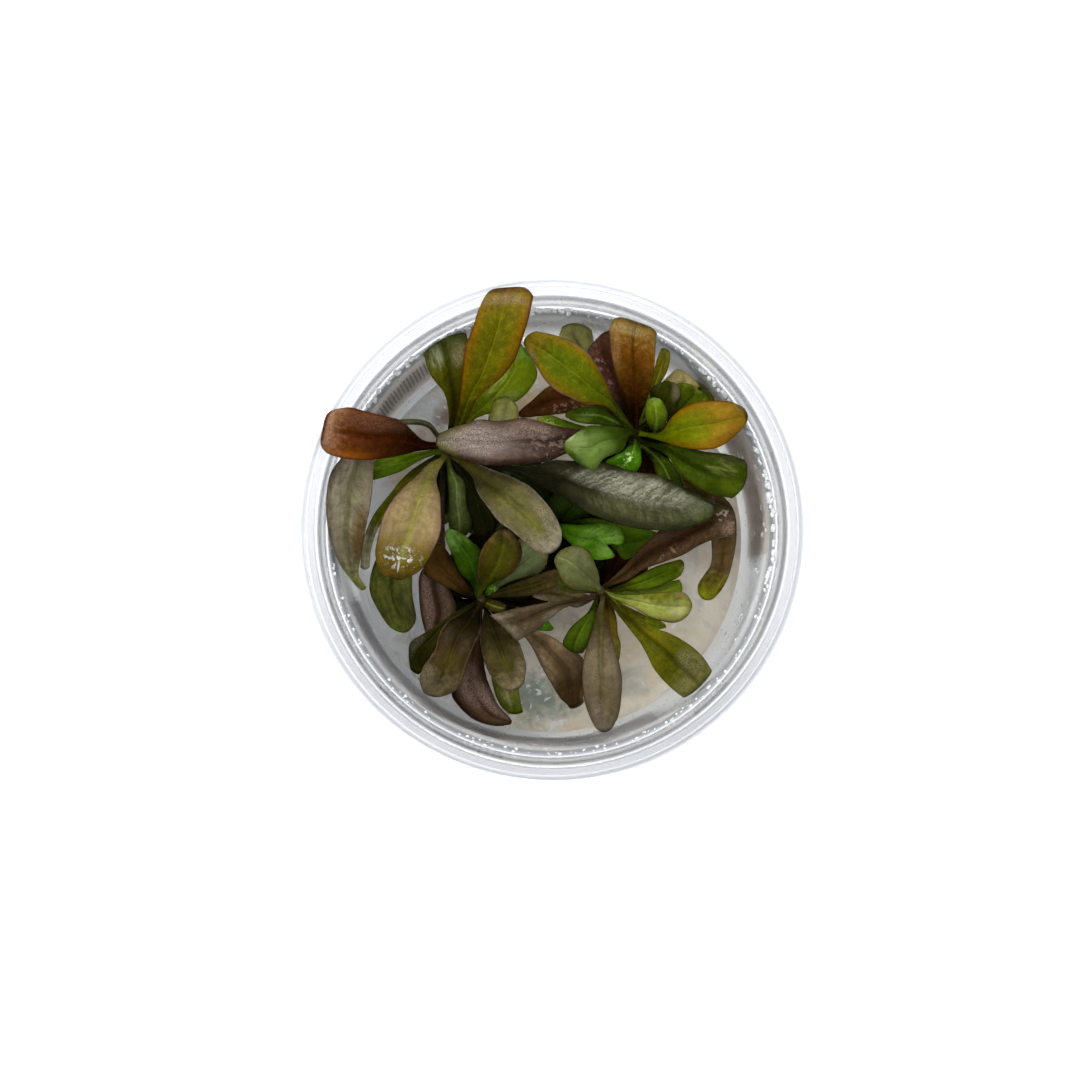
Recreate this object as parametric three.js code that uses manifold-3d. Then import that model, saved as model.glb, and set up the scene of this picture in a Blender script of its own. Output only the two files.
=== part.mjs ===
// A clump of red samolus parviflorus growing on nutrient gel in an open clear plastic cup.
// Millimetres, +Z up, origin in the middle of the cup's underside.

import * as THREE from "three";
import Module from "manifold-3d";
import { mergeVertices } from "three/addons/utils/BufferGeometryUtils.js";

const wasm = await Module();
wasm.setup();

// Driving dimensions
const CUP_HEIGHT = 65;
const WALL_GAP = 0.3; // clearance kept between separate pieces
const LATHE_STEPS = 36;
const GEL_TOP = 14;
const GEL_BOTTOM = 1.6;
const LEAF_THICKNESS = 0.6;
const LEAF_STATIONS = 7;
const WIDE_LEAF = 6.5; // leaves at least this wide are made with more strips across
const FULL_LIFT_WIDTH = 8; // narrower parts of a leaf curl less
const MERGE_DISTANCE = 1e-4;
const STEM_RADIUS = 1.3;
const STEM_TIP_RADIUS = 0.8;
const STEM_SIDES = 8;
const LABEL_LOW = 19;
const LABEL_HIGH = 52;
const LABEL_THICKNESS = 0.3;
const LABEL_GAP = 0.45;
const LABEL_STEP_DEG = 8;

// The outer wall between its foot and the ledge under the rim, as radius at two heights
const WALL_FOOT_Z = 2.2;
const WALL_FOOT_RADIUS = 42;
const LEDGE_Z = 53.6;
const LEDGE_RADIUS = 44.8;

// The rim's outer edge
const RIM_RADIUS = 55.2;
const RIM_EDGE_WIDTH = 1;
const RIM_EDGE_Z = 61;

// The eye looks down on the cup from here; outlines of leaves are read off in the rim's plane
const EYE = new THREE.Vector3(-7.7, -26.2, 664.4);

// Where a point read at (x, y) in the rim's plane lies once it is slid along the line of sight to height z
function seen(x, y, z) {
  const share = (EYE.z - z) / (EYE.z - CUP_HEIGHT);
  return new THREE.Vector3(
    EYE.x + (x - EYE.x) * share,
    EYE.y + (y - EYE.y) * share,
    z,
  );
}

// Cup: open pot with a floor, a drafted wall, a ledge, a raised lip and a wide flat rim
// whose edge turns down
const CUP_PROFILE = [
  [0, 0],
  [40, 0],
  [WALL_FOOT_RADIUS, WALL_FOOT_Z],
  [LEDGE_RADIUS, LEDGE_Z],
  [46.3, 55.4],
  [47.2, 62.9],
  [RIM_RADIUS - RIM_EDGE_WIDTH, 63.1],
  [RIM_RADIUS - RIM_EDGE_WIDTH, RIM_EDGE_Z],
  [RIM_RADIUS, RIM_EDGE_Z],
  [RIM_RADIUS, 63.9],
  [RIM_RADIUS - 0.5, 64.3],
  [50.3, 64.3],
  [49.2, 63.8],
  [48.8, CUP_HEIGHT],
  [46.9, CUP_HEIGHT],
  [46.4, 64.2],
  [45.4, 56],
  [43.9, 54.2],
  [41.1, 2.8],
  [40, 1.2],
  [0, 1.2],
];

// Gel: a puck that fills the bottom of the cup
const GEL_PROFILE = [
  [0, GEL_BOTTOM],
  [39.7, GEL_BOTTOM],
  [40.7, 3.2],
  [41.3, GEL_TOP],
  [0, GEL_TOP],
];

// Labels on the outside of the wall: first and last angle in degrees
const LABELS = {
  label_upper_left: [124, 172],
  label_front: [197, 302],
  label_right: [-7, 48],
};

// Stems: where the crown shows in the rim's plane, and how high it stands
const CROWNS = {
  stem_a: { at: [-21, 15.8], top: 49 },
  stem_b: { at: [16.6, 19.4], top: 51 },
  stem_c: { at: [-14, -14], top: 46 },
  stem_e: { at: [9.6, -12.2], top: 50 },
  stem_f: { at: [1.4, 0.4], top: 42 },
};

// Leaf colours, seen where the leaf is widest
const OLIVE = 0x6a6a22;
const GREEN = 0x4d7a1c;
const DARK_GREEN = 0x2f4a12;
const PALE_GREEN = 0x8c9a4c;
const GREY_GREEN = 0x6a6e4a;
const BROWN = 0x5a3a1a;
const RED_BROWN = 0x6e3610;
const TAUPE = 0x6c5c48;
const TAN = 0xa07c54;

// Leaves: each edge is read from the base to the tip, left and right as seen when looking
// from the base along the leaf. heights: evenly spaced from base to tip. bulge: how far
// the rounded end reaches past the last pair. cup: how far the edges rise (or droop, below 0).
const LEAVES = {
  // Rosette A, upper left
  leaf_a_top: {
    color: OLIVE,
    left: [[-19.9, 18.9], [-18.5, 25], [-18, 30], [-17.4, 36], [-15.9, 40], [-14.6, 44], [-13.7, 45.7]],
    right: [[-18.9, 18.5], [-16.5, 22.6], [-15.2, 25.6], [-13.2, 27.6], [-10.3, 30], [-7.6, 33.5],
      [-6, 37.8], [-4.7, 42], [-3.8, 46.4]],
    heights: [49, 58, 65, 69, 67.2],
    bulge: 2.1,
  },
  leaf_a_behind_top: {
    color: DARK_GREEN,
    left: [[-21, 18.6], [-20.6, 22], [-21.5, 27], [-23.8, 30], [-25, 32.5], [-25.4, 34.2]],
    right: [[-20.2, 18.6], [-18.3, 24], [-17.5, 30], [-16.5, 35], [-17, 38.6]],
    heights: [44, 50.5, 56, 58, 57],
    bulge: 0.7,
    cup: 0.6,
  },
  leaf_a_inner: {
    color: GREEN,
    left: [[-18.9, 18.3], [-17, 23], [-14.5, 29], [-11.5, 33], [-8.8, 36.4]],
    right: [[-18.3, 17.7], [-15.5, 22], [-11, 23.5], [-6.8, 25.6], [-5, 27.2], [-3, 30.5], [-4, 34],
      [-6.2, 36.8]],
    heights: [40, 46, 51, 52, 50],
    bulge: 0.6,
  },
  leaf_a_left: {
    color: RED_BROWN,
    left: [[-23.2, 15.9], [-27, 15.4], [-29.7, 14.7], [-33.7, 14], [-37.3, 13.7], [-42.3, 14.2], [-44.6, 15]],
    right: [[-23.2, 17.2], [-25.8, 17.7], [-27.8, 19.6], [-30, 21.6], [-33.7, 22.6], [-37.7, 23.6],
      [-40, 24.2], [-42.9, 23.9]],
    heights: [49, 58, 66, 69, 67.2],
    bulge: 1.9,
  },
  leaf_a_centre: {
    color: GREY_GREEN,
    left: [[-18.8, 14.4], [-14.9, 13], [-11.6, 11.7], [-7.6, 10.2], [-4.3, 8.4], [-1.7, 5.8], [0.3, 3.1],
      [1.8, -0.2], [1.8, -2.5]],
    right: [[-19.2, 13.5], [-15.9, 10.4], [-14.9, 7.4], [-12.9, 4.5], [-10.6, 1.5], [-8.3, -0.2],
      [-6, -2.1], [-3.7, -4.1], [-1.4, -5]],
    heights: [46, 53, 58, 59, 56.5],
    bulge: 0.6,
  },
  leaf_a_tan: {
    color: TAN,
    left: [[-21.6, 13.2], [-22.6, 11.4], [-23, 9.4], [-22.3, 6.8], [-22.1, 3.4], [-22.1, 0], [-23, -2.9],
      [-24.5, -5.8], [-26.1, -8.1], [-28.4, -9.5]],
    right: [[-22.6, 13.9], [-24.2, 13.2], [-27.1, 10.4], [-29.7, 8.1], [-32, 5.4], [-33.7, 2.1],
      [-34.5, -1.2], [-35.1, -5], [-34, -8.5], [-32.4, -9.3]],
    heights: [46, 55, 59, 58, 54],
    bulge: 0.6,
  },
  leaf_a_far_left: {
    color: GREY_GREEN,
    left: [[-22.6, 18], [-24.8, 20.4], [-29.9, 20.7], [-34, 18], [-35.2, 14], [-35.5, 10], [-36, 5],
      [-37, 0], [-37.8, -5], [-38.3, -9], [-36.8, -11.5]],
    right: [[-22.8, 18.9], [-24.8, 21.2], [-30, 21.6], [-38, 19.5], [-42, 14], [-44, 11], [-44.8, 6],
      [-44.6, 1], [-43.8, -3], [-42, -7], [-40, -9.5], [-38.4, -11.5]],
    heights: [45, 51, 57, 61, 61.5, 61, 57, 51],
    bulge: 0.6,
    stations: 10,
  },
  leaf_a_edge_on: {
    color: DARK_GREEN,
    left: [[-23.6, 13.2], [-27.2, 9.7], [-31.2, 4.8], [-34.2, 0.7], [-35.8, -3.5], [-36.2, -7.5]],
    right: [[-24.4, 14], [-28.6, 11.2], [-32.8, 6.3], [-35.8, 2.2], [-37.6, -2.8], [-38, -7.5]],
    heights: [41, 49, 52, 53, 50],
    bulge: 0.5,
  },
  leaf_a_under_left: {
    color: GREEN,
    left: [[-24, 14.6], [-26, 13.8], [-30, 11.5], [-35.3, 9.8], [-38, 9.5]],
    right: [[-24, 15.8], [-30, 14.8], [-35, 13.8], [-38.5, 12]],
    heights: [42, 50, 54, 53],
    bulge: 1,
  },
  leaf_a_great: {
    color: 0x50553f,
    left: [[-18.4, 15.5], [-12, 13.6], [-6, 12.4], [-3.4, 12.7], [0, 13.7], [4.2, 13.6], [10.5, 13.2],
      [14.4, 12], [17, 11.4], [20.4, 10.9], [23.7, 9.7], [26.3, 8.4], [28.9, 7.1], [31.3, 5.4]],
    right: [[-18.5, 14.7], [-12, 12.3], [-6, 10.7], [-4.1, 9.4], [-1.1, 7.8], [2.5, 6.1], [5.5, 4.1],
      [8.8, 2.5], [12.4, 1.2], [16.4, 0.2], [20.4, -0.2], [23.7, -0.3], [27, 0.3], [29.6, 1.2], [31.9, 2.5]],
    heights: [43, 47, 52, 55.5, 55.5, 53.5],
    bulge: 0.8,
    stations: 10,
  },
  leaf_a_hanging: {
    color: BROWN,
    left: [[-21.5, 13.1], [-21.4, 10], [-21.5, 6], [-21.4, 0], [-21, -6], [-20.5, -11], [-19, -15.5],
      [-20, -18], [-22, -19.5], [-22.8, -22.5]],
    right: [[-22.2, 13.3], [-22.2, 10], [-22.3, 6], [-22.3, 0], [-24, -5], [-26.3, -9], [-26.4, -13],
      [-26, -17], [-25, -21], [-24.3, -24]],
    heights: [36, 42, 43.5, 43, 40, 37],
    bulge: 0.8,
    stations: 10,
  },
  leaf_a_lowest: {
    color: DARK_GREEN,
    left: [[-23.2, 12.9], [-25, 6], [-27, -2], [-27.7, -8], [-27.7, -13], [-27, -18], [-28, -19.8]],
    right: [[-23.9, 13.4], [-27, 6], [-31, 0], [-35, -6], [-36.2, -12], [-34.5, -16], [-32, -19.5],
      [-30.4, -20.3]],
    heights: [34, 42, 46, 43, 38, 35],
    bulge: 0.4,
    cup: 0.8,
  },

  // Rosette B, upper right
  leaf_b_long: {
    color: TAUPE,
    left: [[14.6, 18.3], [9, 16.8], [2.6, 15], [-0.7, 13.5], [-5, 13], [-9.9, 12.7], [-13.6, 12.7],
      [-15.9, 13.4], [-20, 14.7], [-22.1, 15.5]],
    right: [[14.6, 19.4], [10, 19.8], [5, 20], [0.6, 20.6], [-2.7, 21.5], [-6, 22.1], [-10.9, 21.5],
      [-14.9, 21.8], [-17.2, 21], [-20, 20.1], [-22.5, 19.1]],
    heights: [51, 57, 62, 63.5, 62.5, 60],
    bulge: 0.9,
    cup: -0.6,
  },
  leaf_b_up_left: {
    color: OLIVE,
    left: [[14.5, 20.6], [13.6, 21.4], [12.1, 23.3], [10.1, 24.6], [6.5, 24.9], [3.5, 26.1], [0.6, 27.6],
      [-1.7, 29.9], [-3.1, 32.2], [-4.7, 34.8]],
    right: [[15.2, 21.3], [13.4, 23.4], [11.9, 25.2], [11.5, 26.9], [10.5, 29.5], [9.1, 32.2], [7.2, 35],
      [4.9, 36.8], [0.6, 38.6], [-3.2, 39.4]],
    heights: [50, 57, 61, 62, 59.5],
    bulge: 1.8,
  },
  leaf_b_up: {
    color: RED_BROWN,
    left: [[16.2, 21.8], [15.4, 24.9], [14.1, 27.2], [12.8, 30.2], [11.9, 33.5], [11.5, 36.8], [11.3, 39.8],
      [11.9, 41.4]],
    right: [[17.2, 21.8], [18.7, 25.6], [19.4, 27.6], [20.2, 31.5], [20.4, 35.5], [20.7, 38.4]],
    heights: [51, 58, 63, 65, 62],
    bulge: 0.5,
  },
  leaf_b_right: {
    color: 0x86801a,
    left: [[19.4, 19.1], [20.2, 19], [22, 19.6], [23.3, 21.9], [25.3, 23.8], [28, 25.1], [31.9, 25.6],
      [35.5, 25.4], [37.9, 24.3]],
    right: [[19.4, 18.3], [20.3, 18], [22.3, 17.3], [25.6, 16.3], [29.6, 15.8], [32.9, 16.3], [35.9, 18.2],
      [37.9, 20.3]],
    heights: [51, 57, 62, 63, 61],
    bulge: 0.9,
  },
  leaf_b_right_lower: {
    color: DARK_GREEN,
    left: [[18.8, 17.3], [21, 17.1], [25, 16.8], [30, 15.5], [34.9, 14.9], [37.9, 13.9]],
    right: [[18.5, 16.5], [20.5, 16], [22.7, 14.7], [24.7, 12], [27.3, 9.4], [30.3, 7.6], [32.9, 6.6],
      [35, 6.3]],
    heights: [48, 54, 57.5, 58, 54],
    bulge: 1.3,
  },
  leaf_b_down: {
    color: GREEN,
    left: [[18.6, 16.3], [22, 14.5], [24, 13], [25, 11.4], [26.3, 8.4], [26.5, 5]],
    right: [[18, 15.9], [19.8, 13.5], [20.4, 11.4], [21.5, 8], [23.5, 4.5]],
    heights: [43, 48, 50, 48],
    bulge: 0.5,
  },
  leaf_b_rhomb: {
    color: 0x74944c,
    left: [[14.9, 18.6], [14.6, 17.6], [13.8, 15.7], [10.1, 14], [8.2, 11.7], [5.5, 12.9], [3.5, 14.5],
      [2.3, 16]],
    right: [[14.9, 19.7], [13.5, 20.2], [10.1, 20.6], [7.2, 20.6], [4.9, 19.3], [2.9, 17.7], [2.2, 16.9]],
    heights: [55, 63, 66.5, 66, 63],
    bulge: 0.1,
    cup: -1,
  },
  leaf_b_behind_up: {
    color: DARK_GREEN,
    left: [[18.4, 21.5], [19.2, 24.5], [19.6, 28.1], [21.4, 29]],
    right: [[19.1, 21], [23.7, 22.6], [24.7, 24.9], [25.5, 26.6], [25.3, 28.2], [23.7, 29.3]],
    heights: [46, 52, 55, 55],
    bulge: 0.4,
  },
  leaf_b_dark_back: {
    color: DARK_GREEN,
    left: [[19.3, 20.8], [22, 24], [24.3, 27.5], [25, 29], [26.6, 29]],
    right: [[19.8, 20], [25, 21], [29, 23.5], [31.3, 25.7], [29, 27.4]],
    heights: [43, 50, 53, 53.2],
    bulge: 0.4,
  },
  leaf_b_dead: {
    color: TAN,
    left: [[18.3, 22.2], [20.2, 26], [21.7, 29.2], [22.7, 30.2], [24.6, 32]],
    right: [[19, 21.8], [25, 25], [28, 27.5], [29.3, 28.5], [27, 30.5]],
    heights: [41, 48.8, 51.7, 51.6],
    bulge: 0.3,
  },
  leaf_b_by_wall: {
    color: DARK_GREEN,
    left: [[19.8, 20.8], [24, 24.5], [27, 29.4], [28.2, 29.7]],
    right: [[20.3, 20.1], [28, 21.5], [32.2, 25.5], [30.7, 28], [29.5, 29]],
    heights: [38, 44.6, 49.5, 50],
    bulge: 0.1,
  },
  leaf_b_slim: {
    color: OLIVE,
    left: [[17.2, 21.6], [18.4, 26], [19.8, 30], [20.6, 33.5], [21.6, 36]],
    right: [[17.8, 21.4], [19.4, 26], [22.3, 30.5], [23.3, 33.2], [23.4, 35.1]],
    heights: [45, 51, 54, 56.5],
    bulge: 0.4,
  },
  leaf_b_purple: {
    color: BROWN,
    left: [[15, 22], [12, 26], [9.5, 30], [7.4, 33.5], [7, 35.6], [8.6, 37.6]],
    right: [[15.8, 22.2], [16, 27], [15, 32], [13.5, 37], [11.5, 39.6]],
    heights: [44, 51, 54.5, 54],
    bulge: 0.4,
  },
  leaf_b_pale_back: {
    color: 0x8a9a80,
    left: [[14, 21.8], [8, 28], [3.5, 34], [1.3, 38], [2, 40.4]],
    right: [[14.7, 22.4], [11, 30], [9.3, 35], [8.2, 37.5], [7.8, 39.6]],
    heights: [40, 46, 50, 49],
    bulge: 1,
  },
  leaf_b_mauve: {
    color: 0x5c4438,
    left: [[14.2, 20.9], [9, 22.4], [4.9, 23.2], [0.6, 22.8], [-6, 22.1]],
    right: [[14, 21.6], [8, 27], [3, 29], [-0.8, 28.4], [-4.1, 25.6], [-6.4, 23.6]],
    heights: [42, 48, 51, 51.5],
    bulge: 0.6,
  },
  leaf_b_drooping: {
    color: 0x584014,
    left: [[19, 15.5], [24, 12.2], [30, 9], [34, 6.4], [35.6, 4.5], [36.3, 2.5], [36.5, -1], [36, -5],
      [35, -9], [33.5, -12], [31.8, -13.8]],
    right: [[18.7, 15], [23, 10.5], [26.5, 6], [29, 3], [31, 0], [31.5, -3], [31.3, -7], [30, -9],
      [28.8, -11], [28.8, -12.6]],
    heights: [38, 43, 46.5, 47, 44, 40, 37],
    bulge: 0.8,
    stations: 10,
  },

  // Rosette C, lower left
  leaf_c_oval: {
    color: 0x5e5a2c,
    left: [[-14.6, -12], [-14.8, -8], [-14.5, -5.5], [-13.5, -3], [-11.5, -0.8]],
    right: [[-13.8, -12], [-11.5, -10.5], [-9, -9.5], [-7, -7.5], [-6, -5], [-6.5, -2.5], [-8, -0.6]],
    heights: [45, 51, 54, 53.5],
    bulge: 0.9,
  },
  leaf_c_bright: {
    color: GREEN,
    left: [[-15.4, -12.2], [-16.5, -10.2], [-18, -9], [-20, -5], [-21.4, -1]],
    right: [[-14.9, -11.8], [-13.5, -7], [-14.3, -4], [-15.5, -2.8], [-18, -0.8], [-20, 0]],
    heights: [43, 47.5, 50, 49.5],
    bulge: 0.5,
  },
  leaf_c_down_left: {
    color: 0x5a4c26,
    left: [[-14.4, -16], [-14.2, -20], [-15.5, -23], [-17, -26.5], [-17.8, -29.5], [-19, -31.8],
      [-21.5, -33]],
    right: [[-15.4, -15.6], [-17.5, -16.5], [-20.5, -18], [-22.3, -20.5], [-23.5, -24.5], [-25.5, -27],
      [-26.3, -30], [-25.5, -32.3]],
    heights: [46, 52, 54, 51.5],
    bulge: 0.5,
  },
  leaf_c_down: {
    color: 0x66602a,
    left: [[-12.7, -16], [-11.5, -17.5], [-9, -19.3], [-7, -21.7], [-6, -24], [-5.2, -27], [-5.5, -30]],
    right: [[-13.5, -16.3], [-14.3, -21.5], [-14, -24.5], [-13, -27.5], [-11.5, -30], [-9.5, -31.8]],
    heights: [43, 47, 49.5, 48],
    bulge: 1,
  },
  leaf_c_purple: {
    color: BROWN,
    left: [[-14, -16.4], [-13.8, -22], [-13.2, -28.5], [-12, -32], [-10.5, -35], [-8.6, -37], [-8, -37.8]],
    right: [[-14.8, -16.2], [-16.2, -22], [-18.5, -28], [-20, -32.5], [-18.5, -35], [-16, -37.3],
      [-14, -38.3], [-11, -38.8], [-9, -38.6]],
    heights: [38, 43, 45, 43.5],
    bulge: 0.4,
    cup: -0.8,
  },
  leaf_c_green_low: {
    color: GREEN,
    left: [[-12.6, -16.2], [-9, -23], [-7, -29], [-6.5, -33], [-5.8, -36.1]],
    right: [[-13.2, -16.4], [-12.4, -24], [-12, -30], [-10.5, -34.5], [-9, -36.2]],
    heights: [35, 40, 42, 41],
    bulge: 0.4,
  },
  leaf_c_right: {
    color: 0x4a4424,
    left: [[-12.2, -13], [-10, -11.7], [-7, -10.4], [-3, -9], [0, -8], [2.6, -8]],
    right: [[-12.1, -13.6], [-8, -13.4], [-4, -13], [0, -11.5], [2.6, -10.5]],
    heights: [43, 46.5, 49, 48.5],
    bulge: 0.4,
  },
  leaf_c_under_left: {
    color: OLIVE,
    left: [[-15.7, -15.2], [-20, -19], [-24, -25], [-25.5, -28], [-26.4, -28.7]],
    right: [[-16, -14.7], [-20, -17], [-25.5, -20.6], [-28.2, -22.5], [-28.3, -26.5]],
    heights: [40, 44.5, 45.5, 43],
    bulge: 0.6,
  },
  leaf_c_far: {
    color: 0x5a4020,
    left: [[-12.2, -14.9], [-7, -17.2], [-3, -20], [0, -21.3], [3, -23.3], [6, -25.5], [6.2, -30],
      [6, -33.3]],
    right: [[-12.4, -15.6], [-8, -19], [-5, -22], [-4, -23.5], [-2, -27.5], [0, -31], [1.5, -33.4],
      [3, -34.8]],
    heights: [39, 43, 45, 44, 41.5],
    bulge: 0.3,
  },

  // Rosette E, lower right
  leaf_e_left: {
    color: TAUPE,
    left: [[7.8, -13.8], [4, -15], [2, -15.8], [0, -17.3], [-3, -20], [-4.5, -20.8], [-7.2, -22.2]],
    right: [[7.8, -13.2], [3, -14], [0, -14.3], [-4, -15], [-8, -15.8], [-12.5, -17]],
    heights: [47, 50.5, 52.5, 51],
    bulge: -0.2,
  },
  leaf_e_up_right: {
    color: 0x563420,
    left: [[10.9, -10.5], [14, -7.5], [17, -4], [19.5, -1.5], [21, -0.3], [25, 2], [30, 4.5], [33.5, 5.3],
      [35.6, 4.1], [36.3, 1.8]],
    right: [[11.5, -11.1], [15, -10], [18, -8], [22, -6.5], [26, -5], [29, -3.2], [32, -2], [36.2, -1.2]],
    heights: [43, 47, 50.5, 51.5, 50],
    bulge: 0.2,
    stations: 9,
  },
  leaf_e_green: {
    color: GREEN,
    left: [[11.8, -11.8], [15, -10.2], [18.5, -8.2], [22, -6.8], [25.3, -5.9]],
    right: [[11.9, -12.4], [15, -12.2], [19, -12], [23, -10.5], [25.5, -9], [26.1, -7.3]],
    heights: [41, 44.8, 45.8, 44.8],
    bulge: 0.3,
  },
  leaf_e_pale: {
    color: PALE_GREEN,
    left: [[11.9, -12.7], [15, -13], [20, -12.6], [25, -12.3], [26.5, -12.8], [27.6, -14.5]],
    right: [[11.8, -13.4], [13, -14.3], [16, -15.5], [19, -17.3], [21, -18], [24, -18.5], [26, -17.8],
      [27.2, -16.4]],
    heights: [45, 49, 50.5, 49],
    bulge: 0.2,
    cup: 0.8,
  },
  leaf_e_oval: {
    color: 0x6e7452,
    left: [[8.2, -11.6], [7, -12], [4, -11.8], [2, -10.3], [1, -8], [0.4, -6.3]],
    right: [[9.1, -10.6], [9.1, -9], [8.3, -6.5], [7, -4.3], [5.5, -3.3], [4, -3.2], [2, -4], [1, -5]],
    heights: [50, 54.5, 56.5, 54.5],
    bulge: 0.3,
    cup: -0.5,
  },
  leaf_e_down: {
    color: TAUPE,
    left: [[10.3, -14.4], [10.2, -16], [11, -19], [12, -22], [13, -25.5], [13.7, -29], [13.6, -33],
      [13, -37], [11.8, -39.3]],
    right: [[9.4, -14.5], [8.5, -17], [8, -19.5], [7, -22.5], [6, -26], [5.8, -30], [6.3, -34],
      [7.5, -37.5], [8.5, -39.3]],
    heights: [48, 54, 57.5, 56.5, 53],
    bulge: 0.8,
    stations: 9,
  },
  leaf_e_down_left: {
    color: GREEN,
    left: [[8.8, -14.6], [8.6, -17], [8, -20], [7, -23], [6, -24.5]],
    right: [[8.2, -14.2], [7, -16.5], [4.5, -18.5], [2.8, -20.5], [2, -22.8], [3.5, -24]],
    heights: [43, 47.5, 49, 47.5],
    bulge: 0.3,
  },
  leaf_e_behind_down: {
    color: BROWN,
    left: [[11.1, -14.1], [12, -15.4], [12.7, -18], [12.9, -20.5], [13.5, -23], [13.2, -25.8]],
    right: [[10.4, -14.6], [9.6, -17], [9.4, -20], [10, -24], [11.5, -26.3]],
    heights: [43.5, 48, 50, 48.5],
    bulge: 0.3,
  },
  leaf_e_down_right: {
    color: OLIVE,
    left: [[11.9, -14], [14, -15.9], [17, -17.6], [20, -19.5], [22.5, -20.3], [25, -21.5], [28, -23.5],
      [30, -25.5], [31.3, -27.5]],
    right: [[11.4, -14.6], [12.7, -16.5], [15, -19.5], [17, -22], [18.5, -24.5], [20, -27.5], [22, -30],
      [24.5, -32.3], [25.5, -33]],
    heights: [47, 52, 55.5, 56, 53],
    bulge: 0.4,
  },
  leaf_e_behind_right: {
    color: 0x5c5a20,
    left: [[12.2, -13.4], [14.5, -15.1], [17, -16.3], [19, -17.3], [21.5, -18.3]],
    right: [[11.9, -13.9], [14, -17], [17, -19], [20, -20], [22.5, -19.5]],
    heights: [40, 44.5, 46, 45],
    bulge: 0.3,
  },
  leaf_e_mauve: {
    color: 0x6a5c54,
    left: [[7.9, -13.9], [5, -15.5], [2, -14.8], [-2, -14], [-4, -13.4]],
    right: [[7.9, -13.4], [4, -11.8], [0, -11], [-3, -12]],
    heights: [41, 44, 45.5, 45],
    bulge: 0.3,
  },
};

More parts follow.
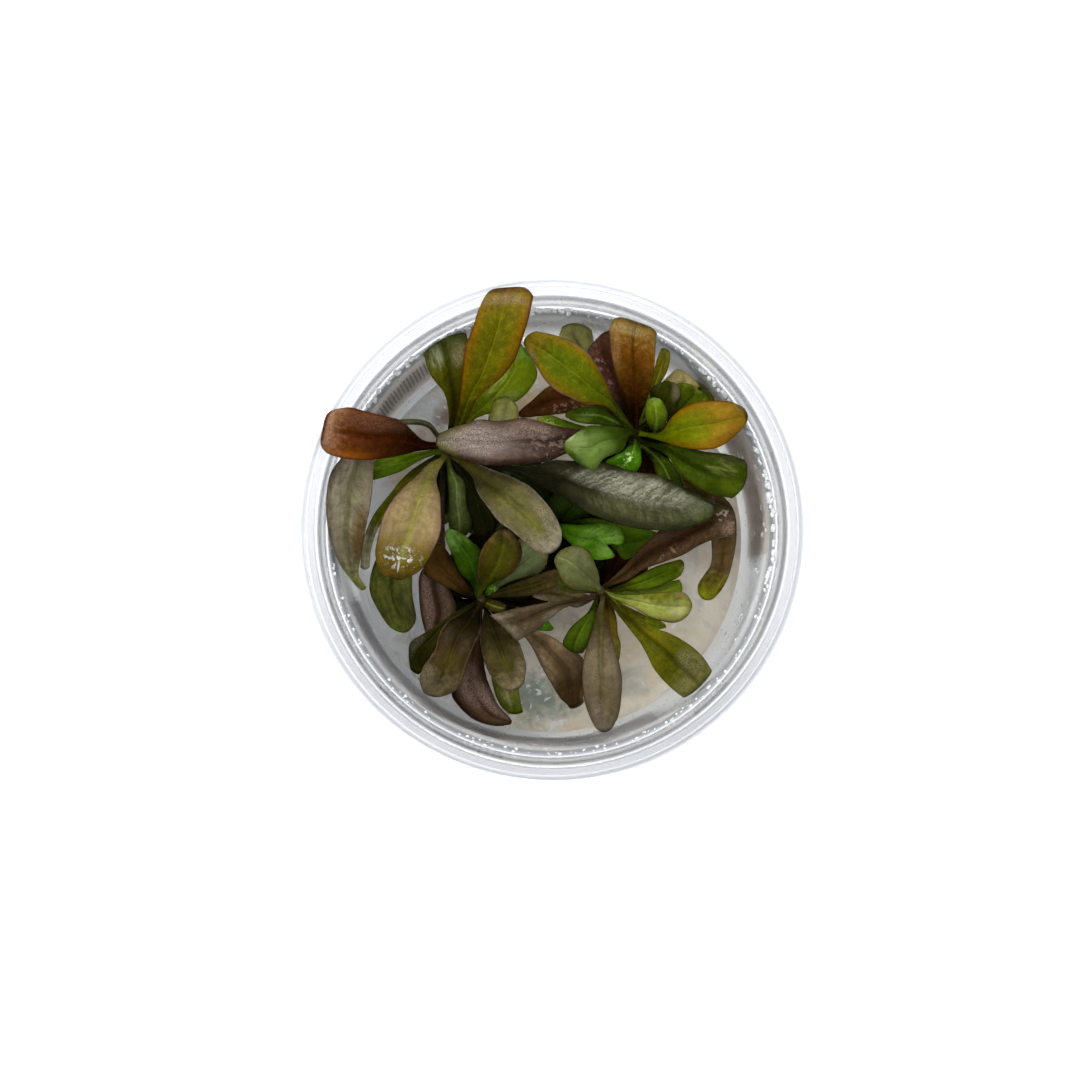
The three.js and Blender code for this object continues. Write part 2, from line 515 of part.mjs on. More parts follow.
// Young leaves that grow out of a stem's own crown, joined to it
const HEART_LEAVES = {
  stem_a: {
    small_rounded: {
      left: [[-20.8, 16.4], [-14, 19.5], [-12.9, 21], [-12.7, 22.3], [-11.6, 25.6]],
      right: [[-20.6, 15.2], [-12.5, 17.6], [-8, 19.5], [-6.7, 21.5], [-6.8, 24.3]],
      heights: [46, 53, 56.5, 55],
      bulge: 1.4,
    },
    dark_glossy: {
      left: [[-20.4, 15.6], [-19.5, 11.3], [-17.5, 9.5], [-17, 5], [-16, 0.5], [-17.5, -1.8]],
      right: [[-21.4, 15.4], [-20.7, 9], [-20.6, 5], [-20.6, 1], [-20, -1.2]],
      heights: [39, 45, 46.5, 44.5],
      bulge: 0.5,
    },
    deep_dark: {
      left: [[-20.4, 15.4], [-14, 9], [-11.5, 4], [-11.5, 0]],
      right: [[-21.2, 14.8], [-18, 8], [-17, 2], [-15, -1.5]],
      heights: [34, 39, 41, 39],
      bulge: 0.6,
    },
  },
  stem_b: {
    small_bright: {
      left: [[16.3, 19.9], [19.4, 22.6], [18.9, 24.6], [19.2, 26]],
      right: [[17, 19.1], [22.5, 21], [22.8, 22.6], [22, 24.9], [20.4, 26.1]],
      heights: [49, 55, 57, 57],
      bulge: 0.3,
    },
    under_long: {
      left: [[16.4, 19], [6, 18], [1.5, 19], [-2, 20], [-3, 21.3]],
      right: [[16.2, 19.8], [7, 20.4], [1.9, 21.9], [-0.4, 22.7], [-2.9, 22.3]],
      heights: [42, 50, 54, 55.5],
      bulge: 0.2,
    },
    glossy: {
      left: [[16.2, 19.2], [11, 20.6], [8.5, 20.8], [6.8, 20.9], [4.2, 21.5], [2.6, 22.3]],
      right: [[16.6, 20.2], [11.5, 23], [9.8, 24.4], [6.8, 24.4], [2.9, 23.3]],
      heights: [45, 51.5, 55, 56.5],
      bulge: 0.2,
    },
    under_great: {
      left: [[17.2, 19.2], [17.6, 15], [17.6, 13], [16.5, 11.2], [14, 9.5]],
      right: [[16, 19.2], [14.6, 16], [12.4, 14.6], [10.5, 13.4], [10.5, 11]],
      heights: [44, 49.5, 50, 48],
      bulge: 0.3,
    },
    maroon: {
      left: [[17.2, 19.2], [20.8, 15.5], [21.6, 12], [20.5, 8]],
      right: [[16.3, 18.7], [17.5, 14], [17, 10], [17.5, 7]],
      heights: [36, 42, 44, 42],
      bulge: 0.5,
    },
  },
  stem_c: {
    dark_flat: {
      left: [[-14.2, -14.4], [-22, -10.9], [-25.6, -8.5], [-24.6, -5]],
      right: [[-13.7, -13.6], [-17, -10.5], [-20, -5.5], [-22, -2.7]],
      heights: [37, 43.5, 45, 45],
      bulge: 0.4,
    },
    teal: {
      left: [[-14.3, -13.7], [-8.5, -8.5], [-6, -5.5], [-4, -4], [-1.5, -4.8]],
      right: [[-13.8, -14.3], [-9, -10.6], [-5, -9.4], [-2, -8.4], [-0.7, -6.4]],
      heights: [38, 44.5, 45.5, 45.5],
      bulge: 0.3,
    },
    curled: {
      left: [[-14, -13.4], [-10.5, -14.3], [-9.2, -15]],
      right: [[-14, -14.6], [-12, -16.3], [-9.8, -16.3]],
      heights: [42.5, 44.5, 46, 45.5],
      bulge: 0.3,
    },
  },
  stem_e: {
    under_oval: {
      left: [[9.6, -12.7], [6, -12.6], [4, -12.7], [2, -12.2]],
      right: [[9.6, -11.6], [5, -10.6], [2.5, -9.6], [1, -9.9]],
      heights: [43, 46.5, 49.6, 50.3],
      bulge: 0.3,
    },
    beside_pale: {
      left: [[9.8, -11.8], [16, -11.8], [20, -11], [25, -9.9]],
      right: [[9.8, -12.6], [17, -13.6], [22, -13.8], [25.6, -12.5]],
      heights: [35, 40.5, 42.5, 42],
      bulge: 0.4,
    },
  },
  stem_f: {
    wavy: {
      left: [[1, 1.2], [5.5, 0.9], [9.5, 1.2], [12.4, 0.5], [14.1, -0.8]],
      right: [[1.2, -0.6], [5, -3.9], [7.2, -4.4], [9.8, -6.3], [11.5, -6], [12.4, -4.8], [13.1, -1.8]],
      heights: [40, 45, 46, 45],
      bulge: 0.3,
      cup: 0.6,
    },
    darker: {
      left: [[1.4, 1], [8, 2.2], [13, 1], [18, 0.3], [20.5, -0.5]],
      right: [[1.8, 0], [8, -1], [12.5, -4], [14, -6], [16.5, -5], [19, -3]],
      heights: [34, 40, 42, 41],
      bulge: 0.4,
    },
    back: {
      left: [[1, 0.8], [-1, 4], [0, 7], [3, 9.5]],
      right: [[1.8, 0.6], [7, 2.5], [10.5, 5], [9, 8.5]],
      heights: [28, 36, 38, 37],
      bulge: 0.6,
    },
    side: {
      left: [[0.9, 0.2], [-3, -3], [-8, -3.5], [-11, -1.5]],
      right: [[1, 0.8], [-3, 2.5], [-8, 3], [-10.5, 1.5]],
      heights: [30, 37, 39, 37],
      bulge: 0.6,
    },
  },
};

// Points evenly spaced along a smooth line through the points read
function spacedAlong(readings, count) {
  const points = readings.map(([x, y]) => new THREE.Vector3(x, y, 0));
  return new THREE.CatmullRomCurve3(points, false, "centripetal").getSpacedPoints(count - 1);
}

// A smooth value at t (0 to 1) through evenly spaced values
function smoothValue(values, t) {
  const points = values.map((value, i) => new THREE.Vector2(i, value));
  return new THREE.SplineCurve(points).getPoint(t).y;
}

// The middle surface of a leaf as rows of points, base to tip, each row left to right
function leafRows({ left, right, heights, bulge, cup = 0.4, stations = LEAF_STATIONS }) {
  const leftPoints = spacedAlong(left, stations);
  const rightPoints = spacedAlong(right, stations);
  const widths = leftPoints.map((point, i) => point.distanceTo(rightPoints[i]));
  const across = Math.max(...widths) < WIDE_LEAF ? 2 : 4;
  const rows = [];
  for (let i = 0; i < stations; i++) {
    const t = i / (stations - 1);
    const side = new THREE.Vector2(rightPoints[i].x - leftPoints[i].x, rightPoints[i].y - leftPoints[i].y);
    const ahead = new THREE.Vector2(-side.y, side.x).normalize();
    const row = [];
    for (let j = 0; j <= across; j++) {
      const u = (2 * j) / across - 1;
      const reach = bulge * (1 - u * u) * t ** 4;
      const x = leftPoints[i].x + (side.x * (u + 1)) / 2 + ahead.x * reach;
      const y = leftPoints[i].y + (side.y * (u + 1)) / 2 + ahead.y * reach;
      const lift = cup * u * u * Math.min(1, widths[i] / FULL_LIFT_WIDTH);
      row.push(seen(x, y, smoothValue(heights, t) + lift));
    }
    rows.push(row);
  }
  return rows;
}

// Unit normals of a grid of points
function rowNormals(rows) {
  return rows.map((row, i) =>
    row.map((_, j) => {
      const along = new THREE.Vector3().subVectors(
        rows[Math.min(i + 1, rows.length - 1)][j],
        rows[Math.max(i - 1, 0)][j],
      );
      const sideways = new THREE.Vector3().subVectors(
        row[Math.min(j + 1, row.length - 1)],
        row[Math.max(j - 1, 0)],
      );
      return new THREE.Vector3().crossVectors(sideways, along).normalize();
    }),
  );
}

// A closed sheet: the grid of points given a thickness
function sheetGeometry(rows, thickness) {
  const normals = rowNormals(rows);
  const across = rows[0].length;
  const positions = [];
  const addSide = (distance) =>
    rows.forEach((row, i) =>
      row.forEach((point, j) => {
        const moved = point.clone().addScaledVector(normals[i][j], distance);
        positions.push(moved.x, moved.y, moved.z);
      }),
    );
  addSide(thickness / 2);
  addSide(-thickness / 2);
  const lower = rows.length * across;
  const at = (i, j, below) => i * across + j + (below ? lower : 0);
  const index = [];
  const quad = (a, b, c, d) => index.push(a, b, c, a, c, d);
  for (let i = 0; i + 1 < rows.length; i++) {
    for (let j = 0; j + 1 < across; j++) {
      quad(at(i, j, false), at(i, j + 1, false), at(i + 1, j + 1, false), at(i + 1, j, false));
      quad(at(i + 1, j, true), at(i + 1, j + 1, true), at(i, j + 1, true), at(i, j, true));
    }
    quad(at(i + 1, 0, false), at(i + 1, 0, true), at(i, 0, true), at(i, 0, false));
    quad(at(i, across - 1, false), at(i, across - 1, true), at(i + 1, across - 1, true),
      at(i + 1, across - 1, false));
  }
  const last = rows.length - 1;
  for (let j = 0; j + 1 < across; j++) {
    quad(at(0, j, true), at(0, j + 1, true), at(0, j + 1, false), at(0, j, false));
    quad(at(last, j, false), at(last, j + 1, false), at(last, j + 1, true), at(last, j, true));
  }
  const geometry = new THREE.BufferGeometry();
  geometry.setAttribute("position", new THREE.Float32BufferAttribute(positions, 3));
  geometry.setIndex(index);
  return geometry;
}

// Swaps the winding when the solid came out inside out
function facingOut(geometry) {
  const p = geometry.attributes.position;
  const index = geometry.index.array;
  const corner = (k) => new THREE.Vector3().fromBufferAttribute(p, index[k]);
  let volume = 0;
  for (let k = 0; k < index.length; k += 3) {
    volume += corner(k).dot(corner(k + 1).cross(corner(k + 2)));
  }
  if (volume < 0) {
    for (let k = 0; k < index.length; k += 3) {
      [index[k + 1], index[k + 2]] = [index[k + 2], index[k + 1]];
    }
  }
  return geometry;
}

function toSolid(geometry) {
  const plain = new THREE.BufferGeometry();
  plain.setAttribute("position", geometry.getAttribute("position"));
  if (geometry.index) {
    plain.setIndex(geometry.index);
  }
  const merged = mergeVertices(plain, MERGE_DISTANCE);
  return new wasm.Manifold(
    new wasm.Mesh({
      numProp: 3,
      vertProperties: new Float32Array(merged.attributes.position.array),
      triVerts: new Uint32Array(merged.index.array),
    }),
  );
}

function toGeometry(solid) {
  const mesh = solid.getMesh();
  const geometry = new THREE.BufferGeometry();
  geometry.setAttribute("position", new THREE.Float32BufferAttribute(mesh.vertProperties, 3));
  geometry.setIndex(new THREE.Uint32BufferAttribute(mesh.triVerts, 1));
  return geometry;
}

// Turns a profile of radius and height pairs about the Z axis
function turned(profile) {
  const points = profile.map(([radius, height]) => new THREE.Vector2(radius, height));
  const geometry = new THREE.LatheGeometry(points, LATHE_STEPS);
  geometry.rotateX(Math.PI / 2);
  return facingOut(geometry);
}

// A round stem that stands on the gel and tapers to its crown
function stemSolid({ at, top }) {
  const foot = GEL_TOP + WALL_GAP;
  const height = top - foot;
  const middle = seen(at[0], at[1], top);
  const geometry = new THREE.CylinderGeometry(STEM_TIP_RADIUS, STEM_RADIUS, height, STEM_SIDES);
  geometry.rotateX(Math.PI / 2);
  geometry.translate(middle.x, middle.y, foot + height / 2);
  return toSolid(facingOut(geometry));
}

// A label curved round the outside of the wall
function labelRows([first, last]) {
  const steps = Math.round((last - first) / LABEL_STEP_DEG);
  const rows = [];
  for (let i = 0; i <= steps; i++) {
    const angle = THREE.MathUtils.degToRad(first + ((last - first) * i) / steps);
    rows.push(
      [LABEL_LOW, LABEL_HIGH].map((z) => {
        const slope = (LEDGE_RADIUS - WALL_FOOT_RADIUS) / (LEDGE_Z - WALL_FOOT_Z);
        const wall = WALL_FOOT_RADIUS + (z - WALL_FOOT_Z) * slope;
        const radius = wall + LABEL_GAP + LABEL_THICKNESS / 2;
        return new THREE.Vector3(radius * Math.cos(angle), radius * Math.sin(angle), z);
      }),
    );
  }
  return rows;
}

const plant = new THREE.Group();

function addPiece(name, geometry, look) {
  geometry.computeVertexNormals();
  const mesh = new THREE.Mesh(geometry, new THREE.MeshStandardMaterial(look));
  mesh.name = name;
  plant.add(mesh);
}

addPiece("cup", turned(CUP_PROFILE), { color: 0xe8ecec, roughness: 0.15, metalness: 0 });
addPiece("gel", turned(GEL_PROFILE), { color: 0xd8cfb4, roughness: 0.2, metalness: 0 });

for (const [name, span] of Object.entries(LABELS)) {
  const sheet = facingOut(sheetGeometry(labelRows(span), LABEL_THICKNESS));
  addPiece(name, sheet, { color: 0xa8a49e, roughness: 0.7, metalness: 0 });
}

for (const [name, crown] of Object.entries(CROWNS)) {
  let solid = stemSolid(crown);
  for (const reading of Object.values(HEART_LEAVES[name])) {
    const sheet = sheetGeometry(leafRows(reading), LEAF_THICKNESS);
    solid = solid.add(toSolid(facingOut(sheet)));
  }
  addPiece(name, toGeometry(solid), { color: GREEN, roughness: 0.4, metalness: 0 });
}

for (const [name, reading] of Object.entries(LEAVES)) {
  const sheet = facingOut(sheetGeometry(leafRows(reading), LEAF_THICKNESS));
  addPiece(name, sheet, { color: reading.color, roughness: 0.4, metalness: 0 });
}

export default plant;
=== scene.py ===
import math
import random

import bpy
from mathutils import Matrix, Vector, noise


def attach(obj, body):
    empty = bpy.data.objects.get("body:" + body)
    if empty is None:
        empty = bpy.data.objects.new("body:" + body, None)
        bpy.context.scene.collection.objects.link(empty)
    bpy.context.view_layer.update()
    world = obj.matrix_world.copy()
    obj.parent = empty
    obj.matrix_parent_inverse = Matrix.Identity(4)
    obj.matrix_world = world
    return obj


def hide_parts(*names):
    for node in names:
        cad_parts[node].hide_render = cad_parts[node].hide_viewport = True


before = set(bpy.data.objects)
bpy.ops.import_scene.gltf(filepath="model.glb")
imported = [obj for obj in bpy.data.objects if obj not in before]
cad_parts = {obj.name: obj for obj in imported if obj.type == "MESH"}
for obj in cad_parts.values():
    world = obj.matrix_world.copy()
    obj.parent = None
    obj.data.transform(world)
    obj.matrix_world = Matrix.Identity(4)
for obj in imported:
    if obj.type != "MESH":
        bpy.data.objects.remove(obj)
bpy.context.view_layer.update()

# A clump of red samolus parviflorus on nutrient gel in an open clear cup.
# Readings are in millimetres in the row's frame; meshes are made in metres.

MM = 0.001

# The eye looks down on the cup from here; outlines of leaves are read in the rim's plane
EYE = Vector((-7.7, -26.2, 664.4))
CUP_HEIGHT = 65
GEL_TOP = 14
WALL_GAP = 0.3

# The wall between the floor's corner and the ledge, inside and outside, as (radius, height)
WALL_LOW = (41.1, 2.8)
WALL_HIGH = (44.2, 54.4)
OUTER_LOW = (42, 2.2)
OUTER_HIGH = (44.8, 53.6)

# Cup: open pot with a floor, a drafted wall, a ledge, a raised lip and a wide flat rim
# whose edge turns down
CUP_PROFILE = [
    (0, 0), (40, 0), OUTER_LOW, OUTER_HIGH, (46.3, 55.4), (47.2, 62.9), (54.2, 63.1),
    (54.2, 61), (55.2, 61), (55.2, 63.9), (54.7, 64.3), (50.3, 64.3), (49.2, 63.8),
    (48.8, CUP_HEIGHT), (46.9, CUP_HEIGHT), (46.4, 64.2), (45.4, 56), WALL_HIGH, WALL_LOW,
    (40, 1.2), (0, 1.2),
]

# Gel: a puck that creeps up a little where it meets the wall
GEL_PROFILE = [
    (0, 1.6), (39.7, 1.6), (40.7, 3.2), (41.25, 13.9), (40.9, 13.55), (40.2, 13.3), (39, 13.2), (0, 13.2),
]

# Labels on the outside of the wall: first and last angle in degrees
LABELS = {
    "label_upper_left": (124, 172),
    "label_front": (197, 302),
    "label_right": (-7, 48),
}
LABEL_LOW = 19
LABEL_HIGH = 52

# Stems: where the crown shows in the rim's plane, and how high it stands
CROWNS = {
    "stem_a": ((-21, 15.8), 49),
    "stem_b": ((16.6, 19.4), 51),
    "stem_c": ((-14, -14), 46),
    "stem_e": ((9.6, -12.2), 50),
    "stem_f": ((1.4, 0.4), 42),
}


def read_table(text):
    """Rows by name, each a list of (word, numbers), from lines such as 'name: word 1 2; word 3 4, 5 6'."""
    rows = {}
    for block in text.strip().split("\n\n"):
        name, fields = block.split(":")
        rows[name] = []
        for field in fields.split(";"):
            word, *numbers = field.replace(",", " ").split()
            rows[name].append((word, [float(number) for number in numbers]))
    return rows


def single(numbers):
    return numbers[0] if len(numbers) == 1 else numbers


def read_outlines(text):
    outlines = {}
    for name, fields in read_table(text).items():
        outlines[name] = {word: single(numbers) for word, numbers in fields}
        for edge in ("left", "right"):
            flat = outlines[name][edge]
            outlines[name][edge] = list(zip(flat[::2], flat[1::2]))
    return outlines


